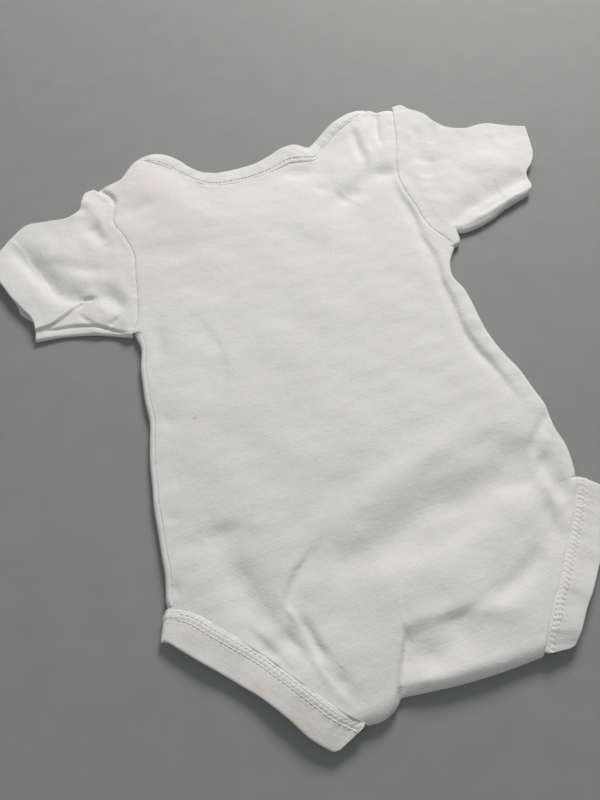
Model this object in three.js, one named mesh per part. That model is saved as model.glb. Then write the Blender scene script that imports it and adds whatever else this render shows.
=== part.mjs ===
// Baby onesie: a short-sleeved bodysuit with lap shoulders and a snapped crotch, laid flat with its back up.
// Millimetres, +Z up. The length runs along Y with the neck towards +Y, and z = 0 is the surface it lies on.
import * as THREE from "three";

// Cloth and seams
const CLOTH = 1.0; // interlock knit
const RIB = 1.8; // doubled rib of the bindings and bands
const SEAM_GAP = 0.3;
const SEAM_CLEARANCE = 0.85; // at curved seams, where two faceted edges face each other
const HEM_WIDTH = 17;
const SLEEVE_LENGTH = 62; // from the armhole to the cuff along the middle
const HEM_RISE = 0.6; // the turned hem lies double

// The two layers where they roll over at a side
const EDGE_HEIGHT = 5.0;
const ROLL = 2.2; // sideways radius of the roll
const SLEEVE_ROLL = 1.8;
const SIDE_SEAM_ARC = 4.7; // the left side seam lies on top, this far round from the outermost line
const RIGHT_SEAM_ARC = -1.9; // the right one lies just under the edge
const SHOULDER_ARC = -1.5; // and the back's shoulder laps end just under theirs
const CROWN = 0.9; // how much the middle of the body stands above its edges

// Heights of hidden layers at the crotch
const TAIL_LIFT = 1.0; // the tail rests on the snap caps
const TAB_LIFT = TAIL_LIFT + CLOTH + SEAM_GAP;
const CROTCH_RISE = 2.3;
const TAIL_EDGE_Y = -175;
const TAIL_SIDES = { left: -44, right: 38 }; // the tail is narrower than the crotch fold it hangs from
const CROTCH_SIDES = { left: -49, right: 41.5 };
const NECK_DROOP = 3.0; // past the front's neck edge the back lies almost on the surface

// Crotch snaps
const SNAP_RADIUS = 4.75;
const SNAP_THICKNESS = 0.7;
const SNAP_X = [-32, -4, 24];
const SNAP_Y = -161;

// The middle of the garment's outline, which becomes the origin
const CENTRE_X = 4.5;
const CENTRE_Y = 6.7;

// Sides from the leg to the underarm. side is 1 where the edge is a rolled side and 0 where it is a seam.
const SIDE_ROWS = [
  { leftX: -119.5, leftY: -99.5, rightX: 97, rightY: -104, side: 0 },
  { leftX: -121.8, leftY: -94, rightX: 99.5, rightY: -97, side: 1 },
  { leftX: -120.2, leftY: -84, rightX: 101.6, rightY: -86, side: 1 },
  { leftX: -119.5, leftY: -73, rightX: 100.8, rightY: -74, side: 1 },
  { leftX: -118.6, leftY: -61, rightX: 102.4, rightY: -61, side: 1 },
  { leftX: -117.8, leftY: -49, rightX: 100.9, rightY: -49, side: 1 },
  { leftX: -116, leftY: -37, rightX: 99.3, rightY: -37, side: 1 },
  { leftX: -114.5, leftY: -25, rightX: 95.8, rightY: -25, side: 1 },
  { leftX: -112, leftY: -13, rightX: 93.3, rightY: -13, side: 1 },
  { leftX: -109.3, leftY: -1, rightX: 92.6, rightY: -1, side: 1 },
  { leftX: -109, leftY: 12, rightX: 93.4, rightY: 12, side: 1 },
  { leftX: -107.8, leftY: 24, rightX: 93.2, rightY: 24, side: 1 },
  { leftX: -106.5, leftY: 35, rightX: 90.3, rightY: 35, side: 1 },
  { leftX: -103.8, leftY: 45, rightX: 93.4, rightY: 45, side: 1 },
  { leftX: -104.2, leftY: 53.5, rightX: 99.2, rightY: 53, side: 1 },
];

// The back's leg edges, where the bands are sewn on, from the crotch up
const BACK_LEG_ROWS = [
  { leftX: -61, leftY: -164.5, rightX: 47, rightY: -164.5 },
  { leftX: -68, leftY: -155.5, rightX: 54, rightY: -156 },
  { leftX: -76, leftY: -145, rightX: 62, rightY: -147 },
  { leftX: -84, leftY: -134.5, rightX: 70, rightY: -138 },
  { leftX: -93, leftY: -124.5, rightX: 77.5, rightY: -130 },
  { leftX: -102, leftY: -115, rightX: 85, rightY: -121 },
  { leftX: -111, leftY: -106, rightX: 91.5, rightY: -112.5 },
];

// The front's leg edges, cut higher than the back's, from its tab up
const FRONT_LEG_ROWS = [
  { leftX: -42, leftY: -169, rightX: 34, rightY: -169 },
  { leftX: -42, leftY: -160, rightX: 34, rightY: -160 },
  { leftX: -43, leftY: -152, rightX: 35, rightY: -152 },
  { leftX: -47, leftY: -144, rightX: 39, rightY: -144 },
  { leftX: -58, leftY: -133, rightX: 48, rightY: -134 },
  { leftX: -77, leftY: -120, rightX: 62, rightY: -123 },
  { leftX: -98, leftY: -109, rightX: 80, rightY: -113 },
];

// The back's top edge. neck is 1 where the binding is sewn on and 0 where the cloth rolls over the shoulder.
const TOP_EDGE = [
  { x: -108, y: 177, neck: 0 },
  { x: -97, y: 180, neck: 0 },
  { x: -88, y: 180.5, neck: 0 },
  { x: -80, y: 188.5, neck: 0 },
  { x: -73, y: 191, neck: 0.5 },
  { x: -66, y: 188.5, neck: 1 },
  { x: -55, y: 180.5, neck: 1 },
  { x: -47, y: 171, neck: 1 },
  { x: -38, y: 160, neck: 1 },
  { x: -30, y: 155.3, neck: 1 },
  { x: -18, y: 153.5, neck: 1 },
  { x: 0, y: 153.5, neck: 1 },
  { x: 12, y: 155.3, neck: 1 },
  { x: 25, y: 159, neck: 1 },
  { x: 35, y: 157, neck: 1 },
  { x: 44, y: 156, neck: 1 },
  { x: 52, y: 165, neck: 1 },
  { x: 62, y: 173, neck: 1 },
  { x: 72, y: 178.3, neck: 1 },
  { x: 82, y: 182.5, neck: 1 },
  { x: 89, y: 187, neck: 0.4 },
  { x: 94, y: 188.5, neck: 0 },
  { x: 99.5, y: 186.8, neck: 0 },
  { x: 105, y: 188, neck: 0 },
  { x: 111, y: 187, neck: 0 },
];

// Neck binding: x on its sewn edge, the place across from it on its outer edge, and its rise in the buckle
const NECK_BINDING = [
  { x: -69, outerX: -70, outerY: 195.2, rise: 0.2 },
  { x: -64.5, outerX: -60, outerY: 195, rise: 0.5 },
  { x: -60, outerX: -53, outerY: 191.5, rise: 0.5 },
  { x: -55, outerX: -46.5, outerY: 185.5, rise: 0.3 },
  { x: -50, outerX: -41.5, outerY: 178, rise: 0 },
  { x: -44, outerX: -36, outerY: 172.2, rise: 0 },
  { x: -38, outerX: -30, outerY: 168.3, rise: 0 },
  { x: -30, outerX: -25, outerY: 166.7, rise: 0 },
  { x: -18, outerX: -17, outerY: 166.2, rise: 0 },
  { x: 0, outerX: 0, outerY: 166.5, rise: 0 },
  { x: 12, outerX: 11, outerY: 168.7, rise: 0.8 },
  { x: 25, outerX: 24, outerY: 173, rise: 2.2 },
  { x: 35, outerX: 33.5, outerY: 173, rise: 1.8 },
  { x: 44, outerX: 41.5, outerY: 169, rise: 0.2 },
  { x: 52, outerX: 48.5, outerY: 173, rise: 0.6 },
  { x: 62, outerX: 57, outerY: 178.7, rise: 1 },
  { x: 72, outerX: 67, outerY: 184.2, rise: 1 },
  { x: 82, outerX: 79, outerY: 188.3, rise: 0.8 },
  { x: 87, outerX: 87, outerY: 190, rise: 0.4 },
];

// The front's neck edge, hidden under the back
const FRONT_NECK = [
  { x: -108, y: 177, neck: 0 },
  { x: -97, y: 180, neck: 0 },
  { x: -86, y: 181, neck: 0.3 },
  { x: -76, y: 181, neck: 1 },
  { x: -66, y: 173, neck: 1 },
  { x: -50, y: 150, neck: 1 },
  { x: -34, y: 134, neck: 1 },
  { x: -18, y: 128, neck: 1 },
  { x: 0, y: 127, neck: 1 },
  { x: 18, y: 128, neck: 1 },
  { x: 36, y: 132, neck: 1 },
  { x: 54, y: 143, neck: 1 },
  { x: 70, y: 163, neck: 1 },
  { x: 80, y: 177, neck: 1 },
  { x: 91, y: 183, neck: 0.3 },
  { x: 99.5, y: 185, neck: 0 },
  { x: 111, y: 187, neck: 0 },
];
const FRONT_BINDING_ENDS = { left: -70, right: 74 };
const BINDING_WIDTH = 11;

// The crotch fold, where the back turns under
const CROTCH_EDGE = [
  { x: -62, y: -177 },
  { x: -50, y: -176.5 },
  { x: -42, y: -176 },
  { x: -36, y: -174.5 },
  { x: -30, y: -171 },
  { x: -22, y: -172 },
  { x: 0, y: -174 },
  { x: 20, y: -176 },
  { x: 45, y: -176.5 },
];

// Armhole seams from the underarm to the shoulder
const ARMHOLE_LEFT = [
  { x: -105.5, y: 60 },
  { x: -100.5, y: 68 },
  { x: -98, y: 80 },
  { x: -95.3, y: 98 },
  { x: -93, y: 114 },
  { x: -96.5, y: 132 },
  { x: -100, y: 143 },
  { x: -97, y: 158 },
  { x: -102, y: 168.5 },
  { x: -108, y: 176.5 },
];
const ARMHOLE_RIGHT = [
  { x: 102.5, y: 58 },
  { x: 97.5, y: 66.5 },
  { x: 92, y: 76 },
  { x: 90.8, y: 94 },
  { x: 89, y: 114 },
  { x: 92.3, y: 130 },
  { x: 99.5, y: 147.5 },
  { x: 104, y: 161 },
  { x: 108, y: 174 },
  { x: 111.5, y: 186 },
];

// Sleeve outlines: the under and top folds run from the armhole to the cuff, and the cuff joins their ends
const SLEEVE_LEFT = {
  armhole: ARMHOLE_LEFT,
  under: [
    { x: -105.5, y: 60 },
    { x: -115, y: 60.5 },
    { x: -130, y: 66 },
    { x: -145, y: 70 },
    { x: -161, y: 71.5 },
  ],
  top: [
    { x: -108, y: 176.5 },
    { x: -113.5, y: 174.8 },
    { x: -117, y: 168 },
    { x: -119.5, y: 161.5 },
    { x: -127, y: 156.8 },
    { x: -141, y: 157.7 },
    { x: -154, y: 158.7 },
    { x: -163, y: 153.3 },
    { x: -173, y: 143.5 },
    { x: -183, y: 134.5 },
  ],
  cuff: [
    { x: -161, y: 71.5 },
    { x: -159.5, y: 80 },
    { x: -160.5, y: 87 },
    { x: -165, y: 96 },
    { x: -170, y: 106 },
    { x: -175.5, y: 120 },
    { x: -183, y: 134.5 },
  ],
};
const SLEEVE_RIGHT = {
  armhole: ARMHOLE_RIGHT,
  under: [
    { x: 102.5, y: 58 },
    { x: 107.5, y: 65.8 },
    { x: 116, y: 65.2 },
    { x: 125, y: 67.5 },
    { x: 143, y: 73 },
    { x: 166, y: 80 },
  ],
  top: [
    { x: 111.5, y: 186 },
    { x: 118, y: 185 },
    { x: 121, y: 179 },
    { x: 129, y: 171.5 },
    { x: 133, y: 162 },
    { x: 138, y: 154.5 },
    { x: 150, y: 148.5 },
    { x: 166, y: 148.5 },
    { x: 180, y: 141.5 },
    { x: 192, y: 136.5 },
  ],
  cuff: [
    { x: 166, y: 80 },
    { x: 170, y: 84.5 },
    { x: 173, y: 97 },
    { x: 179, y: 102.5 },
    { x: 185, y: 111 },
    { x: 188.5, y: 122 },
    { x: 192, y: 136.5 },
  ],
};

// Folds of the body: a soft trough or ridge along a line, with its half width and its height
const BODY_FOLDS = [
  { x0: 86, y0: 112, x1: 84, y1: 60, width: 4.5, height: -1.7 },
  { x0: 84, y0: 60, x1: 81, y1: 0, width: 4.5, height: -1.8 },
  { x0: 81, y0: -6, x1: 91, y1: -52, width: 4.5, height: -1.6 },
  { x0: 92, y0: 100, x1: 90, y1: -20, width: 4, height: 0.9 },
  { x0: 95, y0: -30, x1: 99, y1: -70, width: 4, height: 0.8 },
  { x0: -60, y0: -78, x1: -20, y1: -72, width: 7, height: -1.1 },
  { x0: -20, y0: -72, x1: 50, y1: -47, width: 7, height: -1.2 },
  { x0: -48, y0: -101, x1: 0, y1: -94, width: 6.5, height: -1.3 },
  { x0: 0, y0: -94, x1: 45, y1: -84, width: 6.5, height: -1.2 },
  { x0: 45, y0: -84, x1: 78, y1: -94, width: 6, height: -1.1 },
  { x0: -35, y0: -88, x1: 40, y1: -68, width: 6, height: 0.9 },
  { x0: -46, y0: -93, x1: -68, y1: -117, width: 5, height: -1.4 },
  { x0: -66, y0: -120, x1: -62, y1: -136, width: 4, height: 1.2 },
  { x0: -61, y0: -122, x1: -50, y1: -147, width: 5, height: -1.3 },
  { x0: -85, y0: -95, x1: -72, y1: -135, width: 5, height: -1.1 },
  { x0: -17, y0: -144, x1: 10, y1: -145, width: 5, height: -1.6 },
  { x0: 10, y0: -145, x1: 60, y1: -131, width: 5.5, height: -1.3 },
  { x0: -31, y0: -166, x1: -20, y1: -148, width: 4, height: 1.3 },
  { x0: -24, y0: -166, x1: -12, y1: -150, width: 3.5, height: -0.7 },
  { x0: 86, y0: -98, x1: 85, y1: -113, width: 5, height: -1.2 },
  { x0: 73, y0: -105, x1: 68, y1: -130, width: 5, height: -1.1 },
  { x0: -30, y0: -120, x1: 50, y1: -112, width: 12, height: 1.2 },
  { x0: -105, y0: -60, x1: -80, y1: -72, width: 7, height: -1 },
  { x0: -65, y0: 60, x1: -61, y1: 0, width: 8, height: -0.6 },
  { x0: 76, y0: 172, x1: 73, y1: 145, width: 4.5, height: -1.4 },
  { x0: 78, y0: 140, x1: 82, y1: 152, width: 4, height: 1 },
  { x0: 97, y0: 179, x1: 91, y1: 157, width: 3.5, height: -1.4 },
  { x0: 78, y0: 132, x1: 90, y1: 130, width: 5, height: -1 },
  { x0: 32, y0: 131, x1: 60, y1: 122, width: 7, height: -0.8 },
  { x0: 47, y0: 119, x1: 52, y1: 111, width: 4, height: -1 },
  { x0: -74, y0: 156, x1: -93, y1: 149, width: 7, height: -0.9 },
  { x0: -93, y0: 122, x1: -55, y1: 112, width: 7, height: -0.7 },
  { x0: 18, y0: 146, x1: 35, y1: 146, width: 6, height: -0.9 },
];

const SLEEVE_LEFT_FOLDS = [
  { x0: -160, y0: 138, x1: -143, y1: 106, width: 5.5, height: -1.5 },
  { x0: -143, y0: 106, x1: -127, y1: 94, width: 5, height: -1.5 },
  { x0: -140, y0: 124, x1: -115, y1: 112, width: 6, height: -0.8 },
  { x0: -110, y0: 144, x1: -104, y1: 127, width: 5, height: -1.2 },
  { x0: -107, y0: 174, x1: -99, y1: 161, width: 4, height: -1.3 },
  { x0: -135, y0: 148, x1: -115, y1: 150, width: 12, height: 1 },
  { x0: -120, y0: 100, x1: -108, y1: 100, width: 8, height: 0.9 },
  { x0: -112, y0: 88, x1: -106, y1: 84, width: 4, height: -1 },
];
const SLEEVE_RIGHT_FOLDS = [
  { x0: 177, y0: 101, x1: 148, y1: 93, width: 4.5, height: -1.5 },
  { x0: 148, y0: 93, x1: 112, y1: 76, width: 5, height: -1.6 },
  { x0: 118, y0: 168, x1: 104, y1: 132, width: 5, height: -1.4 },
  { x0: 126, y0: 160, x1: 112, y1: 130, width: 5, height: 0.9 },
  { x0: 165, y0: 125, x1: 130, y1: 110, width: 14, height: 1.1 },
  { x0: 112, y0: 178, x1: 108, y1: 150, width: 5, height: 1.2 },
];

// The left sleeve's upper layer ends short of the under fold, so a lower step of cloth shows along it
const STEP_LINE = [
  { x: -158, y: 79.5 },
  { x: -150, y: 81.5 },
  { x: -141, y: 84.5 },
  { x: -134, y: 88 },
  { x: -127, y: 86 },
];
const STEP_HEIGHT = 3.4;

// Rows across the shoulders
const ARM_SHARE = 0.9; // how far up the armhole the back's plain rows go
const FRONT_ARM_SHARE = 0.88;
const END_REACH = 22; // how far in from an armhole a top row bends to meet it

// Mesh densities
const MIDDLE_COLUMNS = 22;
const FRONT_COLUMNS = 13;
const ARMHOLE_ROWS = 11;
const SLEEVE_ROWS = 11;
const SLEEVE_TOP_COLUMNS = 12;
const SLEEVE_UNDER_COLUMNS = 9;
const SNAP_SIDES = 20;

// Small helpers

function mix(a, b, t) {
  return a + (b - a) * t;
}

function clamp01(t) {
  return Math.min(1, Math.max(0, t));
}

function smoothStep(from, to, value) {
  const t = clamp01((value - from) / (to - from));
  return t * t * (3 - 2 * t);
}

// A smooth value of one column of a table, at a place along its x column
function alongTable(table, x, column) {
  const last = table.length - 1;
  if (x <= table[0].x) return table[0][column];
  if (x >= table[last].x) return table[last][column];
  let i = 0;
  while (table[i + 1].x < x) i += 1;
  const a = table[i];
  const b = table[i + 1];
  const before = table[Math.max(0, i - 1)];
  const after = table[Math.min(last, i + 2)];
  const span = b.x - a.x;
  const slopeA = (b[column] - before[column]) / (b.x - before.x);
  const slopeB = (after[column] - a[column]) / (after.x - a.x);
  const t = (x - a.x) / span;
  const t2 = t * t;
  const t3 = t2 * t;
  return (
    (2 * t3 - 3 * t2 + 1) * a[column] +
    (t3 - 2 * t2 + t) * span * slopeA +
    (3 * t2 - 2 * t3) * b[column] +
    (t3 - t2) * span * slopeB
  );
}

// A smooth plan curve through a table's points
function planCurve(table) {
  const points = table.map((row) => new THREE.Vector3(row.x, row.y, 0));
  return new THREE.CatmullRomCurve3(points, false, "centripetal");
}

function distanceToLine(x, y, fold) {
  const dx = fold.x1 - fold.x0;
  const dy = fold.y1 - fold.y0;
  const t = clamp01(((x - fold.x0) * dx + (y - fold.y0) * dy) / (dx * dx + dy * dy));
  return Math.hypot(x - fold.x0 - t * dx, y - fold.y0 - t * dy);
}

function foldHeight(x, y, folds) {
  let sum = 0;
  for (const fold of folds) {
    const d = distanceToLine(x, y, fold) / fold.width;
    sum += fold.height * Math.exp(-d * d);
  }
  return sum;
}

// A fold seen in section: arc is measured round it from its outermost line, plus on top and minus beneath
function rollInset(arc, roll = ROLL) {
  const quarter = (roll * Math.PI) / 2;
  const beyond = Math.abs(arc) - quarter;
  return beyond > 0 ? roll + beyond : roll * (1 - Math.cos(arc / roll));
}

function rollRise(arc, roll = ROLL) {
  const quarter = (roll * Math.PI) / 2;
  const turned = Math.min(quarter, Math.max(-quarter, arc));
  return (1 + Math.sin(turned / roll)) / 2;
}

const QUARTER = (ROLL * Math.PI) / 2;

// Height of the body's top surface
function bodyHeight(x, y) {
  const across = clamp01(Math.abs(x + 6) / 105);
  const crown = CROWN * (1 - across * across);
  const crotch = CROTCH_RISE * smoothStep(-146, -157, y);
  const toNeck = alongTable(TOP_EDGE, x, "y") - y;
  const underNeck = smoothStep(75, 45, Math.abs(x));
  const droop = NECK_DROOP * underNeck * smoothStep(13, 2, toNeck);
  return EDGE_HEIGHT + crown + crotch - droop + foldHeight(x, y, BODY_FOLDS);
}

// A cloth wall from its outer points, row by row. Its other face lies one thickness inside.
function clothWall(rows, thickness, closedAcross = false) {
  const rowCount = rows.length;
  const columnCount = rows[0].length;
  const outer = rows.flat();
  const at = (i, k) => rows[i][k];
  const inner = [];
  for (let i = 0; i < rowCount; i += 1) {
    for (let k = 0; k < columnCount; k += 1) {
      const left = closedAcross ? (k + columnCount - 1) % columnCount : Math.max(0, k - 1);
      const right = closedAcross ? (k + 1) % columnCount : Math.min(columnCount - 1, k + 1);
      const across = at(i, right).clone().sub(at(i, left));
      const along = at(Math.min(rowCount - 1, i + 1), k).clone().sub(at(Math.max(0, i - 1), k));
      const normal = across.cross(along).normalize();
      inner.push(at(i, k).clone().addScaledVector(normal, -thickness));
    }
  }
  const positions = [...outer, ...inner].flatMap((p) => [p.x, p.y, p.z]);
  const outerAt = (i, k) => i * columnCount + (k % columnCount);
  const innerAt = (i, k) => outer.length + outerAt(i, k);
  const index = [];
  const quad = (a, b, c, d) => index.push(a, b, c, a, c, d);
  const spans = closedAcross ? columnCount : columnCount - 1;
  for (let i = 0; i < rowCount - 1; i += 1) {
    for (let k = 0; k < spans; k += 1) {
      quad(outerAt(i, k), outerAt(i, k + 1), outerAt(i + 1, k + 1), outerAt(i + 1, k));
      quad(innerAt(i, k), innerAt(i + 1, k), innerAt(i + 1, k + 1), innerAt(i, k + 1));
    }
  }
  const end = rowCount - 1;
  for (let k = 0; k < spans; k += 1) {
    quad(outerAt(0, k), innerAt(0, k), innerAt(0, k + 1), outerAt(0, k + 1));
    quad(outerAt(end, k), outerAt(end, k + 1), innerAt(end, k + 1), innerAt(end, k));
  }
  if (!closedAcross) {
    for (let i = 0; i < rowCount - 1; i += 1) {
      quad(outerAt(i, 0), outerAt(i + 1, 0), innerAt(i + 1, 0), innerAt(i, 0));
      quad(outerAt(i, spans), innerAt(i, spans), innerAt(i + 1, spans), outerAt(i + 1, spans));
    }
  }
  const geometry = new THREE.BufferGeometry();
  geometry.setAttribute("position", new THREE.Float32BufferAttribute(positions, 3));
  geometry.setIndex(index);
  geometry.computeVertexNormals();
  return geometry;
}

// Places across a row: close together near both edges, evenly spread between them
function acrossRow(row, leftArcs, rightArcs, middleColumns) {
  const flat = 1 - row.side;
  const leftEnd = row.leftX + rollInset(leftArcs[leftArcs.length - 1]) - ROLL * flat;
  const rightEnd = row.rightX - rollInset(rightArcs[rightArcs.length - 1]) + ROLL * flat;
  const places = [];
  for (const arc of leftArcs) {
    places.push({ x: row.leftX + rollInset(arc) - ROLL * flat, rise: rollRise(arc) });
  }
  for (let k = 1; k < middleColumns; k += 1) {
    const rise = rollRise(leftArcs[leftArcs.length - 1]);
    places.push({ x: mix(leftEnd, rightEnd, k / middleColumns), rise });
  }
  for (const arc of [...rightArcs].reverse()) {
    places.push({ x: row.rightX - rollInset(arc) + ROLL * flat, rise: rollRise(arc) });
  }
  for (const place of places) {
    place.y = mix(row.leftY, row.rightY, (place.x - row.leftX) / (row.rightX - row.leftX));
  }
  return places;
}

// The rows between the underarm and the shoulders, whose edges are the armhole seams
function armholeRows(count, endShare) {
  const left = planCurve(ARMHOLE_LEFT);
  const right = planCurve(ARMHOLE_RIGHT);
  const rows = [];
  for (let i = 0; i < count; i += 1) {
    const share = (endShare * i) / (count - 1);
    const a = left.getPointAt(share);
    const b = right.getPointAt(share);
    const bend = smoothStep(-0.15, 1, i / (count - 1));
    rows.push({ leftX: a.x, leftY: a.y, rightX: b.x, rightY: b.y, side: 0, bend });
  }
  return rows;
}

// A panel's row near its shaped top edge, at a given arc from it
function topRow(share, arc) {
  const left = planCurve(ARMHOLE_LEFT).getPointAt(share);
  const right = planCurve(ARMHOLE_RIGHT).getPointAt(share);
  return { leftX: left.x, leftY: left.y, rightX: right.x, rightY: right.y, side: 0, arc };
}

// Moves a row's points up or down to follow the shaped top edge, and leaves its two ends on the seams
function followTop(places, row, edge, foldArc, direction) {
  const edgeAt = (x) => alongTable(edge, x, "y");
  const insetAt = (x) => {
    const neck = clamp01(alongTable(edge, x, "neck"));
    const arc = mix(foldArc, direction * QUARTER, neck) + direction * row.arc;
    return { inset: rollInset(arc) - ROLL * neck, rise: rollRise(arc) };
  };
  for (const place of places) {
    const share = (place.x - row.leftX) / (row.rightX - row.leftX);
    if (row.bend !== undefined) {
      place.y += row.bend * (edgeAt(place.x) - mix(edgeAt(row.leftX), edgeAt(row.rightX), share));
    }
    if (row.arc !== undefined) {
      const { inset, rise } = insetAt(place.x);
      const leftShift = row.leftY - (edgeAt(row.leftX) - insetAt(row.leftX).inset);
      const rightShift = row.rightY - (edgeAt(row.rightX) - insetAt(row.rightX).inset);
      const nearLeft = smoothStep(END_REACH, 0, place.x - row.leftX);
      const nearRight = smoothStep(END_REACH, 0, row.rightX - place.x);
      place.y = edgeAt(place.x) - inset + leftShift * nearLeft + rightShift * nearRight;
      place.rise = direction > 0 ? place.rise * rise : Math.max(place.rise, rise);
    }
  }
  return places;
}

// Back panel: from the left side seam on top, over the right edge, with its tail under the crotch
function backPanel() {
  const steps = [0, 1.6, 3.2, 5.5, 9];
  const rows = [];
  const crotchArcs = [-22.5, -17, -11, -QUARTER, -1.9, 0, 1.9, QUARTER, 7];
  for (const arc of crotchArcs) {
    const onTop = smoothStep(-9, -QUARTER, arc);
    const topInset = arc > 0 ? rollInset(arc) : 0;
    const row = {
      leftX: mix(TAIL_SIDES.left, CROTCH_SIDES.left, onTop) - topInset,
      leftY: 0,
      rightX: mix(TAIL_SIDES.right, CROTCH_SIDES.right, onTop) + 0.45 * topInset,
      rightY: 0,
      side: 0,
    };
    const arcs = steps.map((step) => QUARTER + step);
    const places = acrossRow(row, arcs, arcs, MIDDLE_COLUMNS);
    rows.push(
      places.map((place) => {
        const y = mix(TAIL_EDGE_Y, alongTable(CROTCH_EDGE, place.x, "y"), onTop) + rollInset(arc);
        const z = mix(TAIL_LIFT, bodyHeight(place.x, y), rollRise(arc));
        return new THREE.Vector3(place.x, y, z);
      }),
    );
  }
  const plain = [
    ...BACK_LEG_ROWS.map((row) => ({ ...row, side: 0 })),
    ...SIDE_ROWS,
    ...armholeRows(ARMHOLE_ROWS, ARM_SHARE),
    topRow(0.935, 7),
    topRow(0.96, 3.8),
    topRow(0.98, 1.7),
    topRow(0.995, 0),
  ];
  for (const row of plain) {
    const leftStart = mix(QUARTER, SIDE_SEAM_ARC, row.side);
    const rightStart = mix(QUARTER, RIGHT_SEAM_ARC, row.side);
    const leftArcs = steps.map((step) => leftStart + step);
    const rightArcs = steps.map((step) => rightStart + step);
    const straight = acrossRow(row, leftArcs, rightArcs, MIDDLE_COLUMNS);
    const places = followTop(straight, row, TOP_EDGE, SHOULDER_ARC, 1);
    const lift = (place) => place.rise * bodyHeight(place.x, place.y);
    rows.push(places.map((place) => new THREE.Vector3(place.x, place.y, lift(place))));
  }
  return clothWall(rows, CLOTH);
}

// Front panel: flat on the surface, wrapped up over the left edge to the side seam
function frontPanel() {
  const leftSteps = [0, 1.6, 3.2, 4.8, 6.4, 8.2];
  const rightSteps = [0, 1.2, 2.6, 6];
  const rows = [];
  const plain = [
    ...FRONT_LEG_ROWS.map((row) => ({ ...row, side: 0 })),
    ...SIDE_ROWS,
    ...armholeRows(ARMHOLE_ROWS, FRONT_ARM_SHARE),
    topRow(0.93, 7),
    topRow(0.98, 1),
  ];
  for (const row of plain) {
    const besideSleeve = row.leftY > ARMHOLE_LEFT[0].y - 1;
    if (besideSleeve) row.leftX += 2 * SEAM_GAP;
    const leftStart = mix(-QUARTER, SIDE_SEAM_ARC - SEAM_GAP, row.side);
    const rightStart = mix(-QUARTER, RIGHT_SEAM_ARC - 4 * SEAM_GAP, row.side);
    const leftArcs = leftSteps.map((step) => leftStart - step);
    const rightArcs = rightSteps.map((step) => rightStart - step);
    const straight = acrossRow(row, leftArcs, rightArcs, FRONT_COLUMNS);
    const places = followTop(straight, row, FRONT_NECK, -QUARTER, -1);
    const points = places.map((place) => {
      const tab = TAB_LIFT * smoothStep(-140, -152, place.y);
      return new THREE.Vector3(place.x, place.y, tab + place.rise * bodyHeight(place.x, place.y));
    });
    rows.push(points.reverse());
  }
  return clothWall(rows, CLOTH);
}

// Sleeve: one flattened tube from the armhole to the cuff
function sleeve(shape, folds, outward) {
  const armhole = planCurve(shape.armhole);
  const cuff = planCurve(shape.cuff);
  const under = planCurve(shape.under);
  const top = planCurve(shape.top);
  const between = (p, q) => mixPoints(armhole.getPointAt(p), cuff.getPointAt(p), q);
  const planPoint = (p, q) => {
    const along = mixPoints(under.getPointAt(q), top.getPointAt(q), p);
    const corners = mixPoints(between(0, q), between(1, q), p);
    return between(p, q).add(along).sub(corners);
  };
  const quarter = (SLEEVE_ROLL * Math.PI) / 2;
  const rows = [];
  for (let i = 0; i <= SLEEVE_ROWS; i += 1) {
    const q = i / SLEEVE_ROWS;
    const depth = under.getPointAt(q).distanceTo(top.getPointAt(q));
    const loop = [];
    const add = (inset, fromTop, rise) => {
      const p = fromTop ? 1 - inset / depth : inset / depth;
      const point = planPoint(p, q);
      point.x += outward * SEAM_CLEARANCE * (1 - q);
      point.z = rise * sleeveHeight(point.x, point.y, q, shape, folds);
      loop.push(point);
    };
    const edgeArcs = [0, quarter / 2, quarter, quarter + 4];
    const addRoll = (arc, fromTop) => add(rollInset(arc, SLEEVE_ROLL), fromTop, rollRise(arc, SLEEVE_ROLL));
    const reach = rollInset(edgeArcs[edgeArcs.length - 1], SLEEVE_ROLL);
    for (const arc of edgeArcs) addRoll(arc, false);
    for (let k = 1; k < SLEEVE_TOP_COLUMNS; k += 1) {
      add(mix(reach, depth - reach, k / SLEEVE_TOP_COLUMNS), false, 1);
    }
    for (const arc of [...edgeArcs].reverse()) addRoll(arc, true);
    addRoll(-quarter / 2, true);
    for (let k = 0; k <= SLEEVE_UNDER_COLUMNS; k += 1) {
      add(mix(SLEEVE_ROLL, depth - SLEEVE_ROLL, k / SLEEVE_UNDER_COLUMNS), true, 0);
    }
    addRoll(-quarter / 2, false);
    rows.push(outward < 0 ? loop : loop.reverse());
  }
  return clothWall(rows, CLOTH, true);
}

function mixPoints(a, b, t) {
  return a.clone().lerp(b, t);
}

function sleeveHeight(x, y, q, shape, folds) {
  const hemStart = 1 - HEM_WIDTH / SLEEVE_LENGTH;
  const hem = HEM_RISE * smoothStep(hemStart, hemStart + 0.04, q);
  const puff = 1.6 * (1 - q) * smoothStep(120, 150, y);
  let height = EDGE_HEIGHT + 0.5 + puff + hem + foldHeight(x, y, folds);
  if (shape === SLEEVE_LEFT) {
    const stepY = alongTable(STEP_LINE, x, "y");
    const ledge = smoothStep(-122, -129, x) * smoothStep(stepY + 1.5, stepY - 2, y);
    height = mix(height, STEP_HEIGHT, ledge);
  }
  return Math.max(height, STEP_HEIGHT);
}

// A flat rib strip from rows of its inner edge and its outer edge, each with a height
function ribStrip(rows) {
  const profile = [
    { across: 1, rise: -0.35 },
    { across: 0.75, rise: 0.15 },
    { across: 0.35, rise: 0.15 },
    { across: 0, rise: 0 },
  ];
  return clothWall(
    rows.map((row) =>
      profile.map(({ across, rise }) => {
        const point = row.inner.clone().lerp(row.outer, across);
        return point.addScaledVector(row.up, rise);
      }),
    ),
    RIB,
  );
}

const UP = new THREE.Vector3(0, 0, 1);

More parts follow.
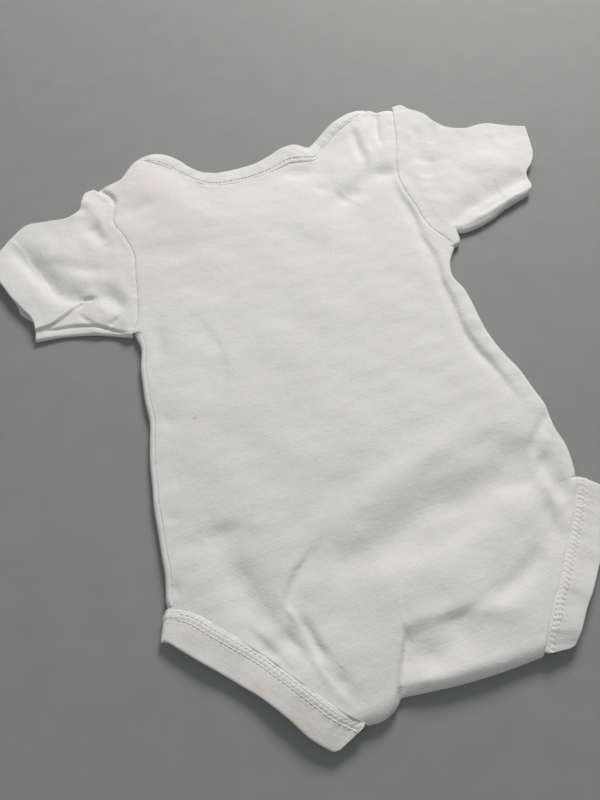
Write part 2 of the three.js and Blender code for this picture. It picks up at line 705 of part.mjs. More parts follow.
// The sewn edge of a binding, kept outside the straight facets of the panel's own edge
function sewnEdge(edge, x, facet) {
  const straight = (alongTable(edge, x - facet, "y") + alongTable(edge, x + facet, "y")) / 2;
  return Math.max(alongTable(edge, x, "y"), straight);
}

// Neck binding of the back, along the whole neck edge
function backNeckBinding() {
  const steps = 34;
  const firstX = NECK_BINDING[0].x;
  const lastX = NECK_BINDING[NECK_BINDING.length - 1].x;
  const rows = [];
  for (let i = 0; i <= steps; i += 1) {
    const x = mix(firstX, lastX, i / steps);
    const sewn = new THREE.Vector3(x, sewnEdge(TOP_EDGE, x, 5), 0);
    const outerX = alongTable(NECK_BINDING, x, "outerX");
    const outer = new THREE.Vector3(outerX, alongTable(NECK_BINDING, x, "outerY"), 0);
    const rise = alongTable(NECK_BINDING, x, "rise");
    const inner = sewn.clone().addScaledVector(outer.clone().sub(sewn).normalize(), SEAM_CLEARANCE);
    inner.z = Math.max(RIB + 0.5, bodyHeight(inner.x, inner.y)) + 0.3 * rise;
    outer.z = Math.max(RIB + 0.5, inner.z - 0.9) + 0.7 * rise;
    rows.push({ inner, outer, up: UP });
  }
  return ribStrip(rows);
}

// Neck binding of the front, hidden between the panels
function frontNeckBinding() {
  const steps = 20;
  const rows = [];
  for (let i = 0; i <= steps; i += 1) {
    const x = mix(FRONT_BINDING_ENDS.left, FRONT_BINDING_ENDS.right, i / steps);
    const slope = (sewnEdge(FRONT_NECK, x + 2, 8) - sewnEdge(FRONT_NECK, x - 2, 8)) / 4;
    const outward = new THREE.Vector3(-slope, 1, 0).normalize();
    const y = sewnEdge(FRONT_NECK, x, 8) + ROLL - 0.3;
    const inner = new THREE.Vector3(x, y, RIB + 0.4).addScaledVector(outward, 2 * SEAM_GAP - ROLL);
    rows.push({ inner, outer: inner.clone().addScaledVector(outward, BINDING_WIDTH), up: UP });
  }
  return ribStrip(rows);
}

// Leg bands. Each row gives the inner edge and the outer edge with their heights.
const LEFT_BAND_BACK = [
  { innerX: -51.5, innerY: -175.5, outerX: -66, outerY: -181.8, rise: 0 },
  { innerX: -60.5, innerY: -166.5, outerX: -75, outerY: -173, rise: 0 },
  { innerX: -69, innerY: -155.5, outerX: -82.5, outerY: -161.5, rise: 0.2 },
  { innerX: -77, innerY: -145, outerX: -90.5, outerY: -151, rise: 0.4 },
  { innerX: -85, innerY: -134.5, outerX: -98, outerY: -143, rise: 0.6 },
  { innerX: -94, innerY: -124.7, outerX: -106, outerY: -134.5, rise: 1 },
  { innerX: -103, innerY: -115.3, outerX: -114, outerY: -126.5, rise: 1.4 },
  { innerX: -112, innerY: -106.4, outerX: -121.5, outerY: -118.5, rise: 1.2 },
  { innerX: -119, innerY: -101, outerX: -126, outerY: -113.5, rise: 0.4 },
];
const LEFT_BAND_FRONT = [
  { innerX: -119, innerY: -101.5, outerX: -126, outerY: -114 },
  { innerX: -107, innerY: -106, outerX: -113, outerY: -120 },
  { innerX: -97, innerY: -110.5, outerX: -104, outerY: -124 },
  { innerX: -78, innerY: -121, outerX: -86, outerY: -133.5 },
  { innerX: -60, innerY: -134, outerX: -69, outerY: -145 },
];
const RIGHT_BAND_BACK = [
  { innerX: 43.5, innerY: -174.8, outerX: 57.5, outerY: -175.5, rise: 0 },
  { innerX: 48.5, innerY: -166, outerX: 62, outerY: -170, rise: 0 },
  { innerX: 55, innerY: -156.5, outerX: 68.5, outerY: -163.5, rise: 0 },
  { innerX: 63, innerY: -147.5, outerX: 75.5, outerY: -157, rise: 0.3 },
  { innerX: 71, innerY: -138.5, outerX: 83.5, outerY: -149, rise: 0.5 },
  { innerX: 78.5, innerY: -130.5, outerX: 91.5, outerY: -141, rise: 0.6 },
  { innerX: 86, innerY: -121.5, outerX: 99.5, outerY: -132.5, rise: 0.6 },
  { innerX: 92.5, innerY: -113, outerX: 106.5, outerY: -124.5, rise: 0.4 },
  { innerX: 97.5, innerY: -105, outerX: 111, outerY: -117, rise: 0 },
];
const RIGHT_BAND_FRONT = [
  { innerX: 97.5, innerY: -105.5, outerX: 111, outerY: -118 },
  { innerX: 81, innerY: -114.5, outerX: 90, outerY: -127.5 },
  { innerX: 63, innerY: -124.5, outerX: 72, outerY: -137.5 },
  { innerX: 50, innerY: -135, outerX: 60, outerY: -146.5 },
];

// A leg band runs along the back's leg edge, round the side and back along the front's
function legBand(backRows, frontRows, outward) {
  const rows = [];
  for (const row of backRows) {
    const height = bodyHeight(row.innerX, row.innerY);
    rows.push({
      inner: new THREE.Vector3(row.innerX, row.innerY, height),
      outer: new THREE.Vector3(row.outerX, row.outerY, Math.max(4.6, height - 1.2) + row.rise),
      up: UP,
    });
  }
  const turn = backRows[backRows.length - 1];
  const top = rows[rows.length - 1];
  for (const angle of [50, 0, -50]) {
    const radians = THREE.MathUtils.degToRad(angle);
    const reach = outward * 2.4 * Math.cos(radians);
    const share = (1 + Math.sin(radians)) / 2;
    rows.push({
      inner: new THREE.Vector3(turn.innerX + reach, turn.innerY, mix(0, top.inner.z, share)),
      outer: new THREE.Vector3(turn.outerX + reach, turn.outerY, mix(0, top.outer.z, share)),
      up: new THREE.Vector3(outward * Math.cos(radians), 0, Math.sin(radians)),
    });
  }
  for (const row of frontRows) {
    rows.push({
      inner: new THREE.Vector3(row.innerX, row.innerY, 0),
      outer: new THREE.Vector3(row.outerX, row.outerY, 0),
      up: new THREE.Vector3(0, 0, 0),
    });
  }
  return ribStrip(outward < 0 ? rows : rows.reverse());
}

// Half of a closed snap: a low dome with a raised rim
function snapGeometry() {
  const profile = [
    [0, 0],
    [SNAP_RADIUS - 0.3, 0],
    [SNAP_RADIUS, 0.2],
    [SNAP_RADIUS, SNAP_THICKNESS - 0.2],
    [SNAP_RADIUS - 0.3, SNAP_THICKNESS],
    [0, SNAP_THICKNESS],
  ].map(([radius, height]) => new THREE.Vector2(radius, height));
  const geometry = new THREE.LatheGeometry(profile, SNAP_SIDES);
  return geometry.rotateX(Math.PI / 2);
}

const cotton = new THREE.MeshStandardMaterial({ color: 0xe4e2dc, roughness: 0.95, metalness: 0 });
const rib = new THREE.MeshStandardMaterial({ color: 0xe2dfd8, roughness: 0.95, metalness: 0 });
const metal = new THREE.MeshStandardMaterial({ color: 0xd8d8d6, roughness: 0.35, metalness: 1 });

const onesie = new THREE.Group();

function addPiece(name, geometry, material, place = [0, 0, 0]) {
  const mesh = new THREE.Mesh(geometry, material);
  mesh.name = name;
  mesh.position.set(...place);
  onesie.add(mesh);
}

addPiece("back_panel", backPanel(), cotton);
addPiece("front_panel", frontPanel(), cotton);
addPiece("sleeve_left", sleeve(SLEEVE_LEFT, SLEEVE_LEFT_FOLDS, -1), cotton);
addPiece("sleeve_right", sleeve(SLEEVE_RIGHT, SLEEVE_RIGHT_FOLDS, 1), cotton);
addPiece("neck_binding_back", backNeckBinding(), rib);
addPiece("neck_binding_front", frontNeckBinding(), rib);
addPiece("leg_band_left", legBand(LEFT_BAND_BACK, LEFT_BAND_FRONT, -1), rib);
addPiece("leg_band_right", legBand(RIGHT_BAND_BACK, RIGHT_BAND_FRONT, 1), rib);
SNAP_X.forEach((x, i) => {
  addPiece(`snap_cap_${i + 1}`, snapGeometry(), metal, [x, SNAP_Y, 0]);
  addPiece(`snap_stud_${i + 1}`, snapGeometry(), metal, [x, SNAP_Y, TAB_LIFT + CLOTH + SEAM_GAP]);
});

onesie.position.set(-CENTRE_X, -CENTRE_Y, 0);

export default onesie;
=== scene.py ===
"""Looks of the baby onesie, lying flat with its back up: the knit shells, their creases, seams and stitches.

Tables and heights are in millimetres in the garment's own frame, with the length along Y and z = 0 the
surface it lies on. metres() moves them into the part's frame.
"""

import math

import bpy
import numpy as np
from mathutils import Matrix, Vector


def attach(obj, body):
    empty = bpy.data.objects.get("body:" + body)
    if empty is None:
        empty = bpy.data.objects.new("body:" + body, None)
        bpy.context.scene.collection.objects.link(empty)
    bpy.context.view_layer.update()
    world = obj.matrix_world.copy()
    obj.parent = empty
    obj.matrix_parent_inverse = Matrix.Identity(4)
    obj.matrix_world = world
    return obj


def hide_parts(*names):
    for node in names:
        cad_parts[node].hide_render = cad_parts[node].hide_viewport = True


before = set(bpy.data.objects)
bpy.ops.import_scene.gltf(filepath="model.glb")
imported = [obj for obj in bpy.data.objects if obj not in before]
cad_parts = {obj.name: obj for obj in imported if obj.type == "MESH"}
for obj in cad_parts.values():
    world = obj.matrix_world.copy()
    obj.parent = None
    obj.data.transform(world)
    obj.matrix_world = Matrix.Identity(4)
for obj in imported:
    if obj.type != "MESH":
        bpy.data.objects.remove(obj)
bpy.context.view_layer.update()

MM = 0.001
CENTRE = (4.5, 6.7)  # the middle of the outline, which is the part's origin


def table(columns, *rows):
    """A short table, as one array for each named column."""
    values = np.array(rows, float)
    return {name: values[:, i] for i, name in enumerate(columns.split())}


def crease(left, right, *points):
    """A trough or ridge along points of x, y and height, with its half width on its left and on its right."""
    return {"left": left, "right": right, "points": np.array(points, float)}


# Cloth and seams
CLOTH = 0.9
RIB = 1.7
SEWN_BULGE = 0.12  # how far an edge's middle stands out, in thicknesses, where it is sewn on
FREE_BULGE = 0.45
HEM_WIDTH = 17
HEM_RISE = 0.45
SLEEVE_LENGTH = 62
BINDING_WIDTH = 11
SEAM_GAP = 0.05
HIDDEN_SEAM_GAP = 0.4  # at the right side, where the seam lies under the roll
SEAM_DEPTH = 0.25
SEAM_WIDTH = 1.1
SEAM_PUCKER = 0.08
LEG_PUCKER = 0.14

# The two layers where they roll over at a side
EDGE_HEIGHT = 5.0
ROLL = 2.2
QUARTER = ROLL * math.pi / 2
SIDE_SEAM_ARC = 4.7
RIGHT_SEAM_ARC = -1.9
SHOULDER_ARC = -1.5

# Heights of the body, and the stretches along y or across x where they change
CROWN = 0.9
CROWN_MIDDLE = -6
CROWN_REACH = 105
CROTCH_RISE = 2.3
CROTCH_RISE_Y = (-118, -158)
CROTCH_ROUND = 2.3
CROTCH_ROUND_REACH = 6
NECK_DROOP = 3.0
NECK_DROOP_X = (80, 45)
NECK_DROOP_REACH = 38
TAIL_LIFT = 1.0
TAB_LIFT = 2.4
TAB_Y = (-140, -152)
ABOVE_TAB_Y = (-145, -152)
LAYER_GAP = 0.1
SETTLING = 0.4  # how softly a deep fold meets the layers below it
TAIL_EDGE_Y = -175
TAIL_SIDES = {"left": -44, "right": 36}  # the tail is narrower than the crotch fold it hangs from
CROTCH_SIDES = {"left": -49, "right": 38.5}

# Sleeves
SLEEVE_ROLL = 1.8
SLEEVE_ROUND = 1.4
SLEEVE_ROUND_REACH = 5
SLEEVE_RISE = 0.5
SLEEVE_PUFF = 1.6
SLEEVE_PUFF_Y = (120, 150)
LEFT_HEM_Y = (95, 104)  # below this the left hem lies in the flap
LEFT_HEM_END = 98  # the left hem's stitches stop at this y
FLAP_SLOPE = 1.3
LOWEST_HEIGHT = 2.3
CUFF_PEEK = {"y": 94.5, "length": 6, "reach": 2.8}  # where the lower layer's cuff shows past the upper one's

# Creases. The last three lengths are in half widths of a crease.
CREASE_STEP = 2.5
CREASE_DEPTH = 1.5  # times the height in its table
CREASE_END = 0.35  # the share of its depth that a crease keeps at its very end
CREASE_FADE = 1.3  # how far from its ends a crease fades
CREASE_REACH = 2.6  # how far to each side it is worked out
SHADE_SHIFT = 0.7  # from its middle to its shaded slope
LIGHT_SIDE = np.array([0.53, 0.85])  # the direction towards the light, in plan

# Rib strips, with their rows of stitches counted from the inner edge
SEAM_ROW = 2.6
SECOND_ROW = 5.6
BINDING_ROW = 3.4
SEAM_OVERLAP = 1.4  # how far a strip reaches over the edge that it is sewn to
CORNER = 2.2
BAND_EDGE_HEIGHT = 4.6
BAND_WRAP = 2.4  # how far a leg band stands out where it turns round the side
BAND_RISE = 0.15  # from the cloth to a band's inner edge
BAND_FALL = 1.3  # from a band's inner edge to its outer one
BAND_LAP = 0.8  # how much further a leg band reaches over the cloth than the neck binding
FRONT_BINDING_ENDS = (-70, 74)
SHOULDER_SHARE = 0.55  # how high the neck binding lies where its edge rolls over the shoulder
LOWEST_BINDING = 2.0  # the lowest that the neck binding's outer face lies

# Stitches
STITCH_PITCH = 2.5
STITCH_SHARE = 0.82  # the share of its pitch that a stitch shows
THREAD = 0.33
HEM_THREAD = 0.2
STITCH_LIFT = 0.05  # how far the stitches on a strip lie off its face
STITCH_SIDES = 6
STITCH_RINGS = [(-0.5, 0.3), (-0.38, 0.85), (0, 1.0), (0.38, 0.85), (0.5, 0.3)]  # place along it, thickness
HEM_STITCH_ROWS = (0.6, 3.2)  # in the sleeve's own rows, from where its hem starts
STITCHED_SHARE = 0.55  # the share of a leg band's rows that lies on top

# Mesh densities
EDGE_STEPS = np.array([0, 0.6, 1.2, 1.8, 2.4, 3.2, 4.2, 5.5, 7, 9])
MIDDLE_COLUMNS = 160
BACK_ROW_STEP = 1.9
FRONT_ROW_STEP = 3
ARMHOLE_ROWS = 27
BACK_ARM_SHARE = 0.9
FRONT_ARM_SHARE = 0.88
TAIL_ARCS = [-22.5, -17, -11, -QUARTER, -1.9, 0, 1.9, QUARTER, 5]
BACK_TOP_ROWS = [(0.935, 7), (0.96, 3.8), (0.98, 1.7), (0.995, 0)]  # armhole share, arc from the top edge
FRONT_TOP_ROWS = [(0.93, 7), (0.98, 1)]
END_REACH = 22  # how far in from an armhole a top row bends to meet it
SLEEVE_ROWS = 100
SLEEVE_TOP_COLUMNS = 150
SLEEVE_UNDER_COLUMNS = 40
SLEEVE_ARCS = np.linspace(0, 1, 7) * SLEEVE_ROLL * math.pi / 2
STRIP_STEP = 0.7
STRIP_TOP_POINTS = 24
STRIP_UNDER_POINTS = 8
NECK_ROWS = 70
FRONT_NECK_ROWS = 40

# Sides from the leg to the underarm. side is 1 where the edge is a rolled side and 0 where it is a seam.
SIDE_ROWS = table(
    "left_x left_y right_x right_y side",
    (-122.4, -99.8, 97, -104, 0),
    (-122.4, -98.8, 97.5, -103, 1),
    (-122, -93, 99.8, -96, 1),
    (-120.2, -84, 101.6, -86, 1),
    (-119.5, -73, 100.8, -74, 1),
    (-118.6, -61, 102.4, -61, 1),
    (-117.8, -49, 100.9, -49, 1),
    (-116, -37, 99.3, -37, 1),
    (-114.5, -25, 95.8, -25, 1),
    (-112, -13, 93.3, -13, 1),
    (-109.3, -1, 92.6, -1, 1),
    (-109, 12, 93.4, 12, 1),
    (-107.8, 24, 93.2, 24, 1),
    (-106.5, 35, 90.3, 35, 1),
    (-103.8, 45, 93.4, 45, 1),
    (-104, 50.5, 97.5, 51, 1),
    (-105.2, 57.2, 100.9, 55.4, 1),
)

# The leg edges, where the bands are sewn on, from the crotch up
BACK_LEG_ROWS = table(
    "left_x left_y right_x right_y side",
    (-61, -164.5, 46, -164.7, 0),
    (-68, -155.5, 53.4, -156, 0),
    (-76, -145, 62, -147, 0),
    (-84, -134.5, 70, -138, 0),
    (-93, -124.5, 77.5, -130, 0),
    (-102, -115, 85, -121, 0),
    (-111, -106, 91.5, -112.5, 0),
)
FRONT_LEG_ROWS = table(
    "left_x left_y right_x right_y side",
    (-42, -169, 34, -169, 0),
    (-42, -160, 34, -160, 0),
    (-43, -152, 35, -152, 0),
    (-47, -144, 39, -144, 0),
    (-58, -133, 48, -134, 0),
    (-77, -120, 62, -123, 0),
    (-98, -109, 80, -113, 0),
)

# Top edges. neck is 1 where the binding is sewn on and 0 where the cloth rolls over the shoulder.
TOP_EDGE = table(
    "x y neck",
    (-108, 177, 0), (-97, 180, 0), (-88, 180.5, 0), (-80, 188.5, 0), (-73, 191, 0.5), (-66, 188.5, 1),
    (-55, 180.5, 1), (-47, 171, 1), (-38, 160, 1), (-30, 155.3, 1), (-18, 153.5, 1), (0, 153.5, 1),
    (12, 155.3, 1), (25, 159, 1), (35, 157, 1), (44, 156, 1), (52, 165, 1), (62, 173, 1), (72, 178.3, 1),
    (82, 182.5, 1), (89, 187, 0.4), (94, 188.5, 0), (99.5, 186.8, 0), (105, 188, 0), (111, 187, 0),
)
FRONT_NECK = table(
    "x y neck",
    (-108, 177, 0), (-97, 180, 0), (-86, 181, 0.3), (-76, 181, 1), (-66, 173, 1), (-50, 150, 1),
    (-34, 134, 1), (-18, 128, 1), (0, 127, 1), (18, 128, 1), (36, 132, 1), (54, 143, 1), (70, 163, 1),
    (80, 177, 1), (91, 183, 0.3), (99.5, 185, 0), (111, 187, 0),
)

# The neck binding: x on its sewn edge, the place across from it on its outer edge, and how far it buckles up
NECK_BINDING = table(
    "x outer_x outer_y rise",
    (-79, -81.5, 189.4, 0),
    (-75, -77.5, 192.6, 0),
    (-70, -70.5, 195.2, 0.2),
    (-64.5, -60, 195, 0.5),
    (-60, -53, 191.5, 0.5),
    (-55, -46.5, 185.5, 0.3),
    (-50, -41.5, 178, 0),
    (-44, -36, 172.2, 0),
    (-38, -30, 168.3, 0),
    (-30, -25, 166.7, 0),
    (-18, -17, 166.2, 0),
    (0, 0, 166.5, 0),
    (12, 11, 168.7, 0.8),
    (25, 24, 173, 2.2),
    (35, 33.5, 173, 1.8),
    (44, 41.5, 169, 0.2),
    (52, 48.5, 173, 0.6),
    (62, 57, 178.7, 1),
    (72, 67, 184.2, 1),
    (82, 79, 188.3, 0.8),
    (87, 87, 190, 0.4),
    (92, 93, 190.6, 0),
)
CROTCH_EDGE = table(
    "x y",
    (-62, -177), (-50, -176.5), (-43, -177), (-38, -176), (-33, -173.5), (-30.5, -171.3), (-22, -172.3),
    (0, -175), (20, -176.2), (45, -176.3),
)

# Armhole seams from the underarm to the shoulder
ARMHOLE_LEFT = [
    (-105.5, 57.6), (-100.8, 67), (-98, 80), (-95.3, 98), (-93, 114), (-96.5, 132), (-100, 143),
    (-97, 158), (-102, 168.5), (-108, 176.5),
]
ARMHOLE_RIGHT = [
    (101.3, 55.8), (97.5, 64.5), (92, 76), (90.8, 94), (89, 114), (92.3, 130), (99.5, 147.5), (104, 161),
    (108, 174), (111.5, 186),
]

# Sleeve outlines: the under fold and the top fold run from the armhole to the cuff
SLEEVE_LEFT = {
    "armhole": ARMHOLE_LEFT,
    "under": [
        (-105.5, 57.6), (-106.8, 56.3), (-109.5, 57.2), (-117, 61), (-130, 66), (-145, 70), (-161, 71.5),
    ],
    "top": [
        (-108, 176.5), (-113.5, 174.8), (-117, 168), (-119.5, 161.5), (-127, 156.8), (-141, 157.7),
        (-154, 158.7), (-163, 153.3), (-173, 143.5), (-183, 134.5),
    ],
    "cuff": [
        (-161, 71.5), (-159.5, 80), (-160.5, 87), (-165, 96), (-170, 106), (-175.5, 120), (-183, 134.5),
    ],
}
SLEEVE_RIGHT = {
    "armhole": ARMHOLE_RIGHT,
    "under": [
        (101.3, 55.8), (105.2, 57.2), (107.4, 61.5), (108, 66.3), (113, 65.3), (123, 66), (137, 70),
        (145, 73.5), (156, 77), (166, 80),
    ],
    "top": [
        (111.5, 186), (118, 185), (121, 179), (129, 171.5), (133, 162), (138, 154.5), (150, 148.5),
        (166, 148.5), (180, 141.5), (192, 136.5),
    ],
    "cuff": [
        (166, 80), (170, 84.5), (173, 97), (179, 102.5), (185, 111), (188.5, 122), (192, 136.5),
    ],
}

# The left sleeve is folded: its hem ends in a flap, below which a middle layer and a strip of the lowest
# layer show. drop is how far the cloth below a line lies under the cloth above it.
FLAP_EDGE = table(
    "x y drop",
    (-164, 77.5, 1.6), (-156.3, 78.1, 1.8), (-148.9, 79.2, 1.9), (-141.7, 82.6, 1.8),
    (-135.8, 86.2, 1.6), (-131.2, 88.8, 1.4), (-125.8, 89, 0.5), (-120, 88, 0),
)
STRIP_LINE = table(
    "x y drop",
    (-164, 79, 0), (-155.7, 77.5, 0.3), (-150.7, 76.2, 0.8), (-141.7, 75.1, 1.1), (-135.2, 73.8, 1.2),
    (-128.9, 71.6, 1.2), (-122.8, 68.7, 1.2), (-117, 64.6, 1.1), (-111, 60.5, 0.8), (-106, 58, 0),
)

# Leg bands. Each row gives the inner edge, the outer edge and how far the outer edge lifts.
LEFT_BAND_BACK = table(
    "inner_x inner_y outer_x outer_y rise",
    (-50.5, -175.6, -66.5, -181.8, 0),
    (-60.5, -166.5, -75, -173, 0),
    (-69, -155.5, -82.5, -161.5, 0.2),
    (-77, -145, -90.5, -151, 0.4),
    (-85, -134.5, -98, -143, 0.6),
    (-94, -124.7, -106, -134.5, 1),
    (-103, -115.3, -114, -126.5, 1.4),
    (-112, -106, -121.5, -118.5, 1.2),
    (-122, -101, -126.8, -113.2, 0.4),
)
LEFT_BAND_FRONT = table(
    "inner_x inner_y outer_x outer_y",
    (-122, -101.5, -126.8, -113.7),
    (-107, -106, -113, -120),
    (-97, -110.5, -104, -124),
    (-78, -121, -86, -133.5),
    (-60, -134, -69, -145),
)
RIGHT_BAND_BACK = table(
    "inner_x inner_y outer_x outer_y rise",
    (40.5, -175.2, 54.5, -177.2, 0),
    (46.8, -166.4, 60.8, -171.3, 0),
    (54.7, -156.6, 68, -163.8, 0),
    (63, -147.5, 75.5, -157, 0.3),
    (71, -138.5, 83.5, -149, 0.5),
    (78.5, -130.5, 91.5, -141, 0.6),
    (86, -121.5, 99.5, -132.5, 0.6),
    (92.5, -113, 106.5, -124.5, 0.4),
    (97.5, -105, 111, -117, 0),
)
RIGHT_BAND_FRONT = table(
    "inner_x inner_y outer_x outer_y",
    (97.5, -105.5, 111, -118),
    (81, -114.5, 90, -127.5),
    (63, -124.5, 72, -137.5),
    (50, -135, 60, -146.5),
)

# Creases of the back and of the front's wrapped edge
BODY_CREASES = [
    # the long groove beside the right edge, and the strip of cloth that stands outside it
    crease(
        1.5, 4.5, (86, 122, -0.3), (84.6, 107, -0.7), (86.6, 93, -0.9), (86.2, 81.6, -1.0),
        (84.6, 68.5, -0.9), (86, 57, -0.8), (85.8, 49, -1.0), (82.8, 36, -1.1), (82.3, 16, -1.1),
        (80.4, -0.6, -1.1), (82.5, -15.8, -1.2), (85.7, -28, -1.0), (88.5, -42, -0.5), (91, -56, -0.3),
    ),
    crease(3.2, 3.2, (84.5, 4.5, 0.4), (89, 1.5, 0.4)),
    crease(3.2, 3.2, (86.5, -17, 0.5), (92, -21, 0.5)),
    crease(3, 2.4, (101, -65, -0.6), (93.6, -71, -0.9), (86, -78, -0.8), (84.5, -86, -0.4)),
    crease(2.6, 2.6, (93, -77, 0.6), (92, -84, 0.5)),
    crease(
        4, 4, (92, 104, 0.15), (91, 60, 0.25), (89, 20, 0.3), (89, -10, 0.3), (93, -35, 0.25), (98, -62, 0.2),
    ),
    # soft folds across the seat
    crease(9, 8, (-60, -76, -0.4), (-20, -66, -0.6), (10, -54, -0.5)),
    crease(
        9, 9, (-46, -101, -0.9), (-22, -101, -1.6), (-1.5, -96, -2.1), (15, -90.5, -2.0),
        (33, -90, -2.0), (53, -87, -2.2), (72, -89, -2.3), (82, -92, -1.2),
    ),
    crease(8, 8, (-20, -107, -0.6), (4, -106, -1.0), (21, -106, -1.1), (40, -101, -1.0), (55, -95, -0.6)),
    crease(6, 6, (60, -73, -0.7), (76, -76, -1.3), (90, -80, -0.9)),
    crease(5, 5, (60, -84, -0.6), (74, -83, -0.9), (84, -89, -0.9), (86, -97, -0.6)),
    crease(8, 8, (-23, -80.8, 0.6), (8.8, -70.6, 0.9), (43, -59.4, 0.9), (69.6, -55.2, 0.6)),
    crease(
        6.0, 1.7, (-42, -92, -0.4), (-50.5, -97.5, -0.9), (-57.7, -102.5, -1.2), (-62, -107.5, -1.2),
        (-65.6, -112.3, -1.1), (-69.2, -118, -0.8),
    ),
    crease(
        1.9, 1.9, (-67, -117, 0.4), (-65.9, -120, 0.6), (-62.7, -135, 0.5), (-59.9, -151, 0.4),
        (-52.5, -166, 0.3),
    ),
    crease(2.4, 5, (-88, -120, -0.5), (-85.6, -123, -0.8), (-78.7, -134.3, -1.0), (-76, -138, -0.6)),
    crease(2.4, 5, (-71.5, -124, -0.7), (-69, -132.5, -1.4), (-65.9, -138.6, -1.2)),
    crease(2.6, 6, (-62, -122, -0.5), (-60.6, -129, -1.1), (-58, -140.3, -1.4), (-54, -145.4, -1.2)),
    crease(3, 6, (-55, -151, -0.8), (-49, -160, -0.7)),
    crease(7, 10, (-86, -82, -1.0), (-81, -100, -1.6), (-77, -114, -1.6), (-74.4, -127, -1.2)),
    crease(4, 9, (-99, -68, -1.0), (-76, -72, -1.2)),
    crease(2.6, 2.6, (-114, -54.5, -0.6), (-105, -56, -0.6)),
    crease(3, 3, (-119, -89, -0.8), (-113, -91, -0.8)),
    crease(2.6, 6, (-66, 56, -0.25), (-59.7, 30, -0.4), (-62, 8, -0.3)),
    crease(4, 4, (-89, 58, -0.5), (-94, 36, -0.6)),
    crease(4, 5, (-103, 2, -0.5), (-92, -5, -0.5)),
    crease(4.5, 4.5, (85, -85, -1.2), (91, -91, -1.2)),
    crease(5, 5, (67, -92, -0.8), (77, -93, -0.8)),
    crease(3, 5, (90, -98, -1.0), (87.6, -106.6, -1.3), (86, -116, -0.9)),
    crease(3, 3, (81, -101, 0.6), (79, -122, 0.6)),
    crease(2.8, 5, (77.3, -108.2, -1.1), (71.5, -131.3, -1.0)),
    crease(14, 14, (-34, -120, 1.0), (54, -112, 1.1)),
    # the crotch, where the left part lies over the right
    crease(
        1.8, 6, (-34, -182, -1.0), (-31, -172.5, -1.0), (-27.6, -164.2, -1.2), (-24.8, -159, -1.4),
        (-20.6, -152.4, -1.6), (-17.6, -146.9, -1.4), (-16, -142.5, -0.8),
    ),
    crease(1.4, 16, (-27, -163, -0.7), (-22.5, -155, -1.1), (-18, -147.5, -1.2), (-16, -143, -0.7)),
    crease(
        9, 7, (-20, -154, -1.3), (-12, -154, -1.9), (-2.6, -152.5, -1.7), (8, -150, -1.6),
        (18, -148, -0.8),
    ),
    crease(5, 5, (24.3, -142.7, -0.9), (40, -139, -1.2), (53, -135.4, -1.2), (62, -128, -0.7)),
    crease(4, 4, (18, -146, 0.6), (28, -147, 0.6)),
    crease(
        2.0, 5, (-17, -143.6, -0.2), (-11.5, -144, -0.5), (-4.5, -144.6, -0.6), (4, -145.6, -0.7),
        (12.5, -146.6, -0.7), (18.5, -144.5, -0.2),
    ),
    crease(6, 2.4, (-15, -140, 0.4), (4, -141.2, 0.5), (22, -138, 0.4)),
    crease(7, 7, (22, -143, 0.4), (44, -150, 0.5)),
    crease(4, 4, (-22, -165, 0.3), (-3, -167, 0.5), (24, -169, 0.5)),
    # the upper back
    crease(8, 8, (-95, 122, -0.4), (-65, 112, -0.7), (-48, 112, -0.3)),
    crease(8, 8, (-70, 62, -0.3), (-66, 20, -0.3), (-66, -2, -0.2)),
    crease(1.6, 5, (45, 122, -0.9), (54, 109, -0.9)),
    crease(5, 5, (30, 131, -0.7), (43, 131, -0.7)),
    crease(5, 5, (48, 124, -0.8), (64, 118, -0.8)),
    crease(3.2, 3.2, (77, 174, -0.8), (75.5, 160, -1.4), (74, 150, -1.3), (73, 142, -0.6)),
    crease(2.4, 2.4, (76, 139, 0.8), (81, 153, 0.8)),
    crease(2.4, 2.2, (98, 183, -1.4), (93, 168, -1.4), (90, 154, -0.9)),
    crease(5, 5, (74, 133, -1.0), (92, 129, -1.0)),
    crease(3, 6, (16, 152, -0.5), (27, 151.5, -1.3), (38, 147.5, -0.7)),
    crease(1.6, 1.6, (86, 180, -0.5), (93, 184, -0.7)),
    crease(7, 7, (90, 134, -0.6), (70, 128, -0.8), (50, 119, -0.8), (34, 108, -0.4)),
    crease(6, 6, (-72, 157, -0.6), (-95, 149, -0.7)),
    crease(1.5, 1.5, (-103, 174.5, -0.8), (-97.2, 167, -1.3), (-95.8, 158.4, -0.9)),
]

SLEEVE_LEFT_CREASES = [
    # the trough just inside the hem, which ends in a pocket
    crease(
        7, 5.5, (-162, 148, -0.9), (-151.5, 125.5, -1.8), (-145, 113, -1.8), (-138.5, 102.5, -1.7),
        (-129, 95, -1.7), (-121, 90, -1.1),
    ),
    crease(1.6, 1.6, (-131, 92, -0.8), (-122.5, 90.5, -1.3)),
    crease(6, 6, (-112, 148, -1.5), (-105, 128, -1.9)),
    crease(6, 6, (-117, 98, -1.2), (-109, 88, -1.9), (-104, 75, -1.1)),
    crease(1.7, 1.7, (-107.5, 172.6, -1.0), (-102.6, 165, -1.7), (-98, 161, -1.2)),
    crease(1.8, 1.8, (-105, 172.5, 0.7), (-100.5, 165.5, 0.8)),
    crease(4, 4, (-117, 165, -1.0), (-113, 157, -1.0)),
    crease(5, 5, (-142, 125, -0.6), (-113, 111, -0.7)),
    crease(12, 12, (-138, 142, 0.8), (-118, 138, 0.8)),
    crease(9, 9, (-145, 148, 0.8), (-134, 130, 1.1), (-125, 113, 0.9)),
    # small creases of the middle layer
    crease(1.1, 2.2, (-133.5, 82.5, -0.3), (-128.4, 74.8, -0.4), (-123.5, 70, -0.3)),
    crease(1.3, 1.3, (-118, 67.5, -0.8), (-112.5, 71.5, -0.8)),
    crease(2.5, 2.5, (-129, 82, 0.15), (-119, 74, 0.2)),
]
